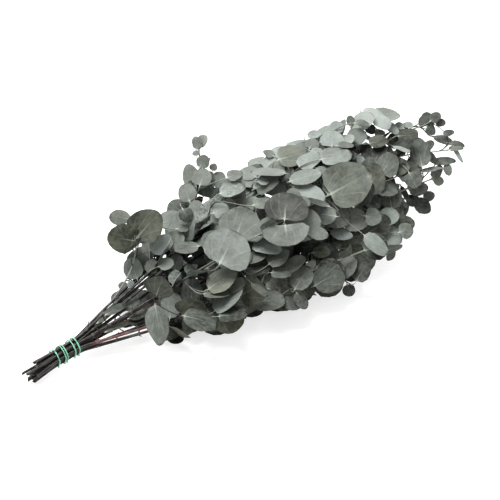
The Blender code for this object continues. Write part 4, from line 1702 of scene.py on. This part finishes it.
@dataclass
class BladeBlank:
    """The blank that leaves are copied from: two sheets that meet at the rim, pointed at root and tip."""

    name: str
    stations: int
    strips: int
    thickness: float = 0.0006
    neck: float = 0.0034
    neck_half_width: float = 0.0009
    rim: float = 0.001
    station_ease: float = 1.35
    roundness: float = 0.9
    ruffles: Pair = (0.030, 0.022)
    root_share: float = 0.35
    soft_fold: float = 0.04
    cup_share: float = 0.25
    uv_outline: tuple[float, ...] = (0.085, 0.02, 0.06, 0.02)

    def model(self) -> None:
        """Models the blank from a grid of stations along the midrib and strips across it."""
        deselect()
        bpy.ops.mesh.primitive_grid_add(
            x_subdivisions=self.stations, y_subdivisions=self.strips, size=1.0, location=(0.5, 0, 0)
        )
        blank = named(self.name)
        bpy.ops.object.transform_apply(location=True, rotation=True, scale=True)
        with editing(blank):
            select_points(blank, lambda p: self.rim < p.x < 1 - self.rim and abs(p.y) < 0.5 - self.rim)
            bpy.ops.transform.translate(value=(0, 0, 0.5))
            bpy.ops.mesh.select_all(action="SELECT")
            bpy.ops.mesh.duplicate()
            bpy.ops.transform.resize(value=(1, 1, -1), center_override=(0, 0, 0))
            bpy.ops.mesh.flip_normals()
            for end in (0.0, 1.0):
                select_points(blank, lambda p, end=end: abs(p.x - end) < self.rim)
                bpy.ops.transform.resize(value=(1, 0, 1), center_override=(end, 0, 0))
            bpy.ops.mesh.select_all(action="SELECT")
            bpy.ops.mesh.remove_doubles(threshold=0.0001)
        mesh = blank.data
        places = np.empty(len(mesh.vertices) * 3)
        mesh.vertices.foreach_get("co", places)
        places = places.reshape(-1, 3)
        self.station = np.rint(places[:, 0] * self.stations).astype(int)
        self.across = places[:, 1] * 2
        self.level = places[:, 2] * 2
        self.faces = [tuple(face.vertices) for face in mesh.polygons]
        self.lay_uv(mesh)
        self.blank = blank

    def lay_uv(self, mesh: Mesh) -> None:
        """Lays the UV map in the leaf's own proportions: U along its midrib, V across it from 0 to 1."""
        along, half = self.outline(1.0, 1.0, *self.uv_outline)
        corners = np.array([loop.vertex_index for loop in mesh.loops])
        flat = np.stack((along, 0.5 + self.across * half), axis=1)[corners]
        mesh.uv_layers.active.name = "UVMap"
        mesh.uv_layers.active.data.foreach_set("uv", flat.astype(np.float32).ravel())

    def outline(
        self, length: float, width: float, neck: float, neck_half: float, egg: float, point: float
    ) -> tuple[np.ndarray, np.ndarray]:
        """The outline at each point's station.

        Args:
            length: From root to tip.
            width: Across the blade.
            neck: The length of the narrow neck.
            neck_half: Half the neck's width.
            egg: How far the widest part lies towards the root.
            point: How far the tip stands out.

        Returns:
            For each point, how far it is along the midrib and half the width there.
        """
        left = 1 - np.clip(self.station - 1, 0, None) / (self.stations - 1)
        turn = np.pi * (1 - left**self.station_ease)
        share = (1 - np.cos(turn)) / 2
        along = neck + (length - neck) * share + length * point * share**5
        half = np.sin(turn) ** self.roundness * (1 + egg * np.cos(turn))
        half *= width / 2 / half.max()
        along = np.where(self.station == 0, 0.0, along)
        half = np.where(self.station == 0, 0.0, half)
        half = np.where(self.station == 1, neck_half, half)
        tip = self.station == self.stations
        return np.where(tip, length * (1 + point), along), np.where(tip, 0.0, half)

    def shaped(self, leaf: Leaf, form: LeafForm) -> np.ndarray:
        """The blank's points as one leaf, in the object's frame."""
        x, half = self.outline(leaf.length, leaf.width, self.neck, self.neck_half_width, form.egg, form.point)
        y = half * self.across * (1 + form.uneven * np.sign(self.across))
        middle = (leaf.length + self.neck) / 2
        angle = np.arctan2(y / leaf.width, (x - middle) / leaf.length)
        slow, quick = self.ruffles
        ruffle = slow * np.sin(2 * angle + form.phase) + quick * np.sin(5 * angle - form.phase)
        y = y * (1 + np.abs(self.across) * ruffle)
        lobe = 2 * np.abs(y) / leaf.width * np.clip(1 - x / leaf.length, 0, 1) ** 2
        x = x - leaf.length * form.heart * lobe
        round_x, round_y = (x - middle) / (leaf.length / 2), y / (leaf.width / 2)
        reach = round_x**2 + round_y**2
        ease = np.clip((x - self.neck) / (leaf.length * self.root_share), 0, 1)
        share = x / leaf.length
        soft = leaf.width * self.soft_fold
        z = form.fold * (np.sqrt(y * y + soft * soft) - soft)
        z += ease * leaf.length * form.cup * self.cup_share * reach
        z -= leaf.length * form.curl * share**2
        z += y * form.twist * share * ease
        angle = np.arctan2(round_y, round_x)
        z += ease * leaf.length * form.wave * reach * np.sin(3 * angle + form.phase)
        z += self.level * self.thickness / 2
        turn = np.array(leaf.matrix)
        return np.stack((x, y, z), axis=1) @ turn[:3, :3].T + turn[:3, 3]

    def copy(self, leaf: Leaf, places: np.ndarray, looks: dict[str, float]) -> Piece:
        """Copies the blank as one leaf, with a mesh of its own.

        Args:
            leaf: The leaf.
            places: Where its points are.
            looks: What its material reads, each one number for the whole leaf.

        Returns:
            The new leaf.
        """
        mesh = self.blank.data.copy()
        mesh.vertices.foreach_set("co", places.astype(np.float32).ravel())
        for name, number in looks.items():
            give_attribute(mesh, name, np.full(len(mesh.vertices), number))
        mesh.update()
        made = bpy.data.objects.new(leaf.site.replace("/", "_"), mesh)
        bpy.context.collection.objects.link(made)
        return made


@dataclass
class LeafDresser:
    """Turns leaf places into fine leaves that cross nothing."""

    bunch: Bunch
    finish: Material
    large: BladeBlank = field(default_factory=lambda: BladeBlank("large_blade", 12, 6))
    small: BladeBlank = field(default_factory=lambda: BladeBlank("small_blade", 8, 4))
    large_from: float = 0.036
    eases: tuple[float, ...] = (1.0, 0.7, 0.45, 0.2, 0.0)
    crinkled_share: float = 0.07

    def __post_init__(self) -> None:
        """Models both blanks."""
        self.large.model()
        self.small.model()

    def looks(self, leaf: Leaf, stem: Stem) -> dict[str, float]:
        """What the leaf's material reads: how pale, how olive and how crinkled this leaf is."""
        draw = Random(f"{leaf.site}/looks")
        tone = leaf.tone or TONES.get(leaf.site)
        if tone:
            return dict(zip(("paleness", "olive", "crinkle"), tone))
        crinkled = draw.random() < self.crinkled_share
        # The leaf's shade is painted shade: it darkens the leaf by where it sits in the head, not by its own
        # tone
        return {
            "paleness": min(max(stem.paleness - leaf.shade + draw.gauss(0, 0.11), 0.04), 0.95),
            "olive": min(max(stem.olive + draw.gauss(0, 0.20), 0.0), 1.0),
            "crinkle": draw.uniform(0.5, 1.0) if crinkled else 0.0,
        }

    def fine_leaf(self, leaf: Leaf, stem: Stem) -> Piece:
        """Makes one leaf, eased towards flat until it crosses no other."""
        blank = self.large if leaf.length > self.large_from else self.small
        form = LeafForm.drawn(leaf)
        group = leaf.site if leaf.tone else leaf.site.rsplit("/", 1)[0]
        floor = PRESSED_FLOOR if leaf.pressed else SEAM
        self.bunch.placed.pop(leaf.site, None)
        for ease in self.eases:
            places = blank.shaped(leaf, form.eased(ease))
            shell = ([Vector(p) for p in places], blank.faces)
            if self.bunch.clear(group, shell, stem.name, floor):
                break
        self.bunch.add(group, shell, leaf.site)
        return blank.copy(leaf, places, self.looks(leaf, stem))

    def dress(self, grown: GrownStem) -> None:
        """Makes all the leaves of a stem as one piece."""
        made = [self.fine_leaf(leaf, grown.stem) for leaf in grown.leaves]
        piece = joined(grown.stem.name.replace("stem", "leaves"), made, 70)
        piece.data.materials.clear()
        piece.data.materials.append(self.finish)
        hand_over(piece, "leafy_stem", grown.stem.name)

    def finish_up(self) -> None:
        """Takes both blanks away once every leaf is copied."""
        for each in (self.large, self.small):
            bpy.data.objects.remove(each.blank)


@dataclass
class TubeMaker:
    """Makes round lines: bark, spurs and the plies of the twine."""

    sides_detail: int = 2
    caps_merge: float = 0.000002

    def model(self, name: str, route: Route, shares: Pair = (0.0, 1.0)) -> Piece:
        """Draws a path along a route, gives it its radii and makes it a mesh.

        Args:
            name: The new piece's name.
            route: The run.
            shares: What the "share" attribute starts and ends at.

        Returns:
            The tube, with its own UV map in metres along and turns around.
        """
        deselect()
        bpy.ops.curve.primitive_nurbs_path_add(location=(0, 0, 0))
        path = named(name)
        curve = path.data
        curve.splines.clear()
        line = curve.splines.new("POLY")
        line.points.add(len(route.points) - 1)
        for point, place, radius in zip(line.points, route.points, route.radii):
            point.co = (*place, 1)
            point.radius = radius
        curve.bevel_depth = 1.0
        curve.bevel_resolution = self.sides_detail
        curve.use_fill_caps = True
        bpy.ops.object.convert(target="MESH")
        tube = bpy.context.view_layer.objects.active
        with editing(tube):
            bpy.ops.mesh.remove_doubles(threshold=self.caps_merge)
        self.measure(tube.data, route, *shares)
        return tube

    @staticmethod
    def measure(mesh: Mesh, route: Route, share_from: float, share_to: float) -> None:
        """Writes how far along each point is, in its UV map and as a share."""
        along = route.along_of(mesh)
        share = share_from + (share_to - share_from) * along / max(along.max(), 1e-6)
        give_attribute(mesh, "share", share)
        layer = mesh.uv_layers.active
        corners = np.array([loop.vertex_index for loop in mesh.loops])
        flat = np.empty(len(mesh.loops) * 2)
        layer.data.foreach_get("uv", flat)
        flat = flat.reshape(-1, 2)
        flat[:, 0] = along[corners]
        layer.data.foreach_set("uv", flat.astype(np.float32).ravel())


@dataclass
class BarkDresser:
    """Makes each stem's bark: its run, joints, scars, spurs, side shoots and slanted cut."""

    growth: Growth
    bark: Material
    cut_wood: Material
    tubes: TubeMaker = field(default_factory=TubeMaker)
    spacing: float = 0.0040
    rounding: float = 0.008
    rounding_steps: int = 3
    mark_stops: tuple[float, ...] = (-0.0022, -0.0009, 0.0, 0.0009, 0.0022)
    least_gap: float = 0.0006
    plain_share: float = 0.96
    joint_swell: Pair = (0.30, 0.0016)
    scar_swell: Pair = (0.16, 0.0009)
    scar_ring: float = 0.0011
    scar_margin: float = 0.012
    scar_gap: Pair = (0.016, 0.028)
    spur_share: float = 0.80
    spur_length: Pair = (0.005, 0.012)
    spur_leans: Pair = (0.55, 1.1)
    spur_radii: Triple = (0.00062 * 1.3, 0.00062, 0.00062 * 0.75)
    cut_lean: Pair = (20.0, 50.0)
    cut_margin: float = 0.0004
    cut_flat: float = 0.995
    cut_reach: float = 0.004
    bare_to: float = -0.125
    old_bark: Pair = (0.20, 0.46)
    spur_bark: Pair = (0.25, 0.3)
    young_bark: Pair = (0.45, 0.72)
    shoot_bark: Pair = (0.6, 1.0)

    @staticmethod
    def swelling(stop: float, marks: list[float], swell: Pair) -> float:
        """How much thicker a run is at a stop, for marks that each swell it by a share over a width."""
        share, width = swell
        return sum(share * exp(-(((stop - mark) / width) ** 2)) for mark in marks)

    def fine_route(self, route: Route, joints: list[float], scars: list[float]) -> Route:
        """A run with rounded corners and a swelling at each joint and scar.

        Args:
            route: The coarse run.
            joints: Distances along it where leaves grow.
            scars: Distances along it where leaves have fallen.

        Returns:
            The fine run.
        """
        total = route.along[-1]
        stops = [total * k / round(total / self.spacing) for k in range(round(total / self.spacing) + 1)]
        for mark in (*joints, *scars):
            stops += [mark + step for step in self.mark_stops]
        kept: list[float] = []
        for stop in sorted(s for s in stops if 0 <= s <= total):
            if not kept or stop - kept[-1] > self.least_gap:
                kept.append(stop)
        points, radii = [], []
        steps = self.rounding_steps
        for stop in kept:
            reach = min(self.rounding, stop, total - stop)
            shares = [(stop + reach * k / steps) / total for k in range(-steps, steps + 1)]
            near = [route.at(min(max(share, 0), 1))[0] for share in shares]
            points.append(sum(near, Vector()) / len(near))
            swell = self.swelling(stop, joints, self.joint_swell)
            swell += self.swelling(stop, scars, self.scar_swell)
            radii.append(route.at(stop / total)[2] * (self.plain_share + swell))
        return Route(points, radii)

    def scar_places(self, grown: GrownStem) -> list[float]:
        """Distances along a stem where leaves have fallen: past the binding, up to the first leaves."""
        draw = Random(f"{grown.stem.name}/scars")
        total = grown.route.along[-1]
        start = grown.route.along[2] + self.scar_margin
        end = grown.joints[0] * total - self.scar_margin
        places = []
        at = start + draw.uniform(0.0, self.scar_margin)
        while at < end:
            places.append(at)
            at += draw.uniform(*self.scar_gap)
        return places

    def spurs(self, grown: GrownStem, scars: list[float]) -> list[Piece]:
        """The short stubs that fallen leaves have left, where they cross nothing."""
        draw = Random(f"{grown.stem.name}/spurs")
        total = grown.route.along[-1]
        made = []
        for number, at in enumerate(scars):
            site, heading, radius = grown.route.at(at / total)
            turn = draw.uniform(0, 2 * pi)
            spread = around(heading, heading.orthogonal().normalized(), turn)
            length = draw.uniform(*self.spur_length)
            wanted = draw.random() < self.spur_share
            points = [site + spread * radius * 0.5]
            for lean in self.spur_leans:
                points.append(points[-1] + (heading * lean + spread).normalized() * length * 0.5)
            run = Route(points, list(self.spur_radii))
            group = f"{grown.stem.name}/spur{number}"
            if wanted and self.growth.bunch.clear(group, run.shell(), grown.stem.name):
                self.growth.bunch.add(group, run.shell())
                made.append(self.tubes.model(group.replace("/", "_"), run, self.spur_bark))
        return made

    def slant_cut(self, tube: Piece, route: Route, name: str) -> None:
        """Cuts the stem's end at a slant and shows the wood there."""
        draw = Random(f"{name}/cut")
        run = (route.points[1] - route.points[0]).normalized()
        lean = radians(draw.uniform(*self.cut_lean))
        across = around(run, run.orthogonal().normalized(), draw.uniform(0, 2 * pi))
        normal = (-run * cos(lean) + across * sin(lean)).normalized()
        centre = route.points[0] + run * (route.radii[0] * tan(lean) + self.cut_margin)
        tube.data.materials.append(self.bark)
        tube.data.materials.append(self.cut_wood)
        with editing(tube):
            bpy.ops.mesh.bisect(plane_co=centre, plane_no=normal, use_fill=True, clear_outer=True)
        for face in tube.data.polygons:
            if face.normal.dot(normal) > self.cut_flat and (face.center - centre).length < self.cut_reach:
                face.material_index = 1

    def mark_scars(self, mesh: Mesh, route: Route, marks: list[float]) -> None:
        """Writes where joints and scars are, for their paler rings."""
        along = route.along_of(mesh)
        ring = np.zeros(len(along))
        for mark in marks:
            ring = np.maximum(ring, np.exp(-(((along - mark) / self.scar_ring) ** 2)))
        give_attribute(mesh, "scar", ring)

    def shoot_tubes(self, name: str, shoots: list[Route], parts: tuple[float, ...]) -> list[Piece]:
        """The bark of a stem's side shoots of one kind, with joints at some parts of their run."""
        made = []
        for number, shoot in enumerate(shoots):
            run = self.fine_route(shoot, [shoot.along[-1] * part for part in parts], [])
            made.append(self.tubes.model(f"{name}_{number}", run, self.shoot_bark))
        return made

    def dress(self, grown: GrownStem) -> None:
        """Makes the bark of a stem as one piece."""
        stem, total = grown.stem, grown.route.along[-1]
        scars = self.scar_places(grown)
        joints = [share * total for share in grown.joints]
        fine = self.fine_route(grown.route, joints, scars)
        tube = self.tubes.model(stem.name.replace("stem", "bark"), fine)
        self.mark_scars(tube.data, fine, [*joints, *scars])
        self.slant_cut(tube, fine, stem.name)
        pieces = [tube]
        pieces += self.shoot_tubes(f"{stem.name}_shoot", grown.shoots, LONG_SHOOT.pairs)
        pieces += self.shoot_tubes(f"{stem.name}_small_shoot", grown.small, SMALL_SHOOT.pairs)
        for number, twig in enumerate(grown.twigs):
            shares = self.old_bark if twig.points[0].x < self.bare_to else self.young_bark
            pieces.append(self.tubes.model(f"{stem.name}_twig_{number}", twig, shares))
        pieces += self.spurs(grown, scars)
        for piece in pieces:
            give_attribute(piece.data, "maroon", np.full(len(piece.data.vertices), stem.bark.value))
            if not piece.data.materials:
                piece.data.materials.append(self.bark)
        bark = joined(tube.name, pieces, 50)
        hand_over(bark, "leafy_stem", stem.name)


@dataclass
class TwineDresser:
    """Makes the twine: two plies laid round each other, wound tight round the stems."""

    growth: Growth
    finish: Material
    tubes: TubeMaker = field(default_factory=TubeMaker)
    plies: int = 2
    per_turn: int = 44
    ply_radius: float = 0.00056
    ply_offset: float = 0.00042
    lay: float = 0.0052

    def ply(self, route: Route, number: int) -> Piece:
        """One ply along the twine's run."""
        points = []
        for i, (place, along) in enumerate(zip(route.points, route.along)):
            run = route.run_at(i).normalized()
            side = Vector((1, 0, 0)).cross(run).normalized()
            angle = 2 * pi * (along / self.lay + number / self.plies)
            points.append(place + around(run, side, angle) * self.ply_offset)
        return self.tubes.model(f"twine_ply_{number}", Route(points, [self.ply_radius] * len(points)))

    def dress(self) -> None:
        """Makes the twine as one piece."""
        binding = self.growth.binding
        route = binding.twine_route(self.growth.places, self.per_turn)
        piece = joined("twine_winding", [self.ply(route, number) for number in range(self.plies)], 60)
        piece.data.materials.clear()
        piece.data.materials.append(self.finish)
        hand_over(piece, "twine", "twine")


@dataclass
class Studio:
    """The pale floor, the soft lights and the camera."""

    floor_side: float = 8.0
    floor_height: float = -0.0004
    floor_cuts: int = 3
    view: PhotoView = field(default_factory=PhotoView)
    lens: float = 260.0
    sensor: float = 36.0
    sight: float = 50.0
    view_width: float = 0.576
    target: Triple = (0.0110, -0.0108, 0.0570)
    ambient: float = 0.74

    def lay_floor(self) -> None:
        """Lays the floor just under the lowest leaves."""
        deselect()
        bpy.ops.mesh.primitive_plane_add(size=self.floor_side, location=(0, 0, self.floor_height))
        floor = named("floor")
        bpy.ops.object.transform_apply(location=True, rotation=True, scale=True)
        with editing(floor):
            bpy.ops.mesh.subdivide(number_cuts=self.floor_cuts)
        floor.data.materials.append(FloorFinish().make())
        floor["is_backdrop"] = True

    def add_light(self, name: str, place: Triple, side: float, power: float) -> None:
        """Adds a square soft light that looks at the bunch."""
        deselect()
        bpy.ops.object.light_add(type="AREA", location=place)
        light = named(name)
        light.data.size = side
        light.data.energy = power
        light.rotation_euler = (Vector(place) - Vector(self.target)).to_track_quat("Z", "Y").to_euler()

    def add_lights(self) -> None:
        """Adds the soft key from above, a weak fill from the front, one for the back, and the pale room."""
        self.add_light("key_light", (-0.40, 0.20, 1.9), 1.0, 46.0)
        self.add_light("fill_light", (-1.3, -1.7, 1.1), 1.4, 2.0)
        self.add_light("back_light", (1.1, 1.9, 0.9), 1.6, 20.0)
        world = bpy.data.worlds.new("pale_room")
        world.use_nodes = True
        background = world.node_tree.nodes["Background"]
        background.inputs["Color"].default_value = (1.0, 1.0, 1.0, 1.0)
        background.inputs["Strength"].default_value = self.ambient
        bpy.context.scene.world = world

    def add_camera(self) -> None:
        """Adds the camera at the photograph's angle."""
        back = self.view.axes[2]
        distance = self.lens * self.view_width / self.sensor
        place = Vector(self.target) + back * distance
        bpy.ops.object.camera_add(location=place, rotation=back.to_track_quat("Z", "Y").to_euler())
        camera = named("camera")
        camera.data.lens = self.lens
        camera.data.sensor_width = self.sensor
        camera.data.clip_end = self.sight
        bpy.context.scene.camera = camera
        bpy.context.scene.view_settings.view_transform = "Standard"
        bpy.context.scene.view_settings.look = "Medium High Contrast"

    def build(self) -> None:
        """Sets the studio up."""
        self.lay_floor()
        self.add_lights()
        self.add_camera()


def main() -> None:
    """Builds the bunch's looks round the frame, piece by piece."""
    logging.basicConfig(level=logging.INFO, format="%(message)s")
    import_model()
    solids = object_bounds()
    growth = Growth()
    room = Vector(ROOM_PAST_SOLIDS)
    grown = growth.grow((solids[0] - room, solids[1] + room))
    log.info("%d leaves have their places", sum(len(each.leaves) for each in grown))
    leaves = LeafDresser(growth.bunch, LeafFinish().make())
    bark = BarkDresser(growth, BarkFinish().make(), CutWoodFinish().make())
    for each in grown:
        leaves.dress(each)
        bark.dress(each)
    leaves.finish_up()
    TwineDresser(growth, TwineFinish().make()).dress()
    Studio().build()
    bpy.context.view_layer.update()


if __name__ == "__main__":
    main()
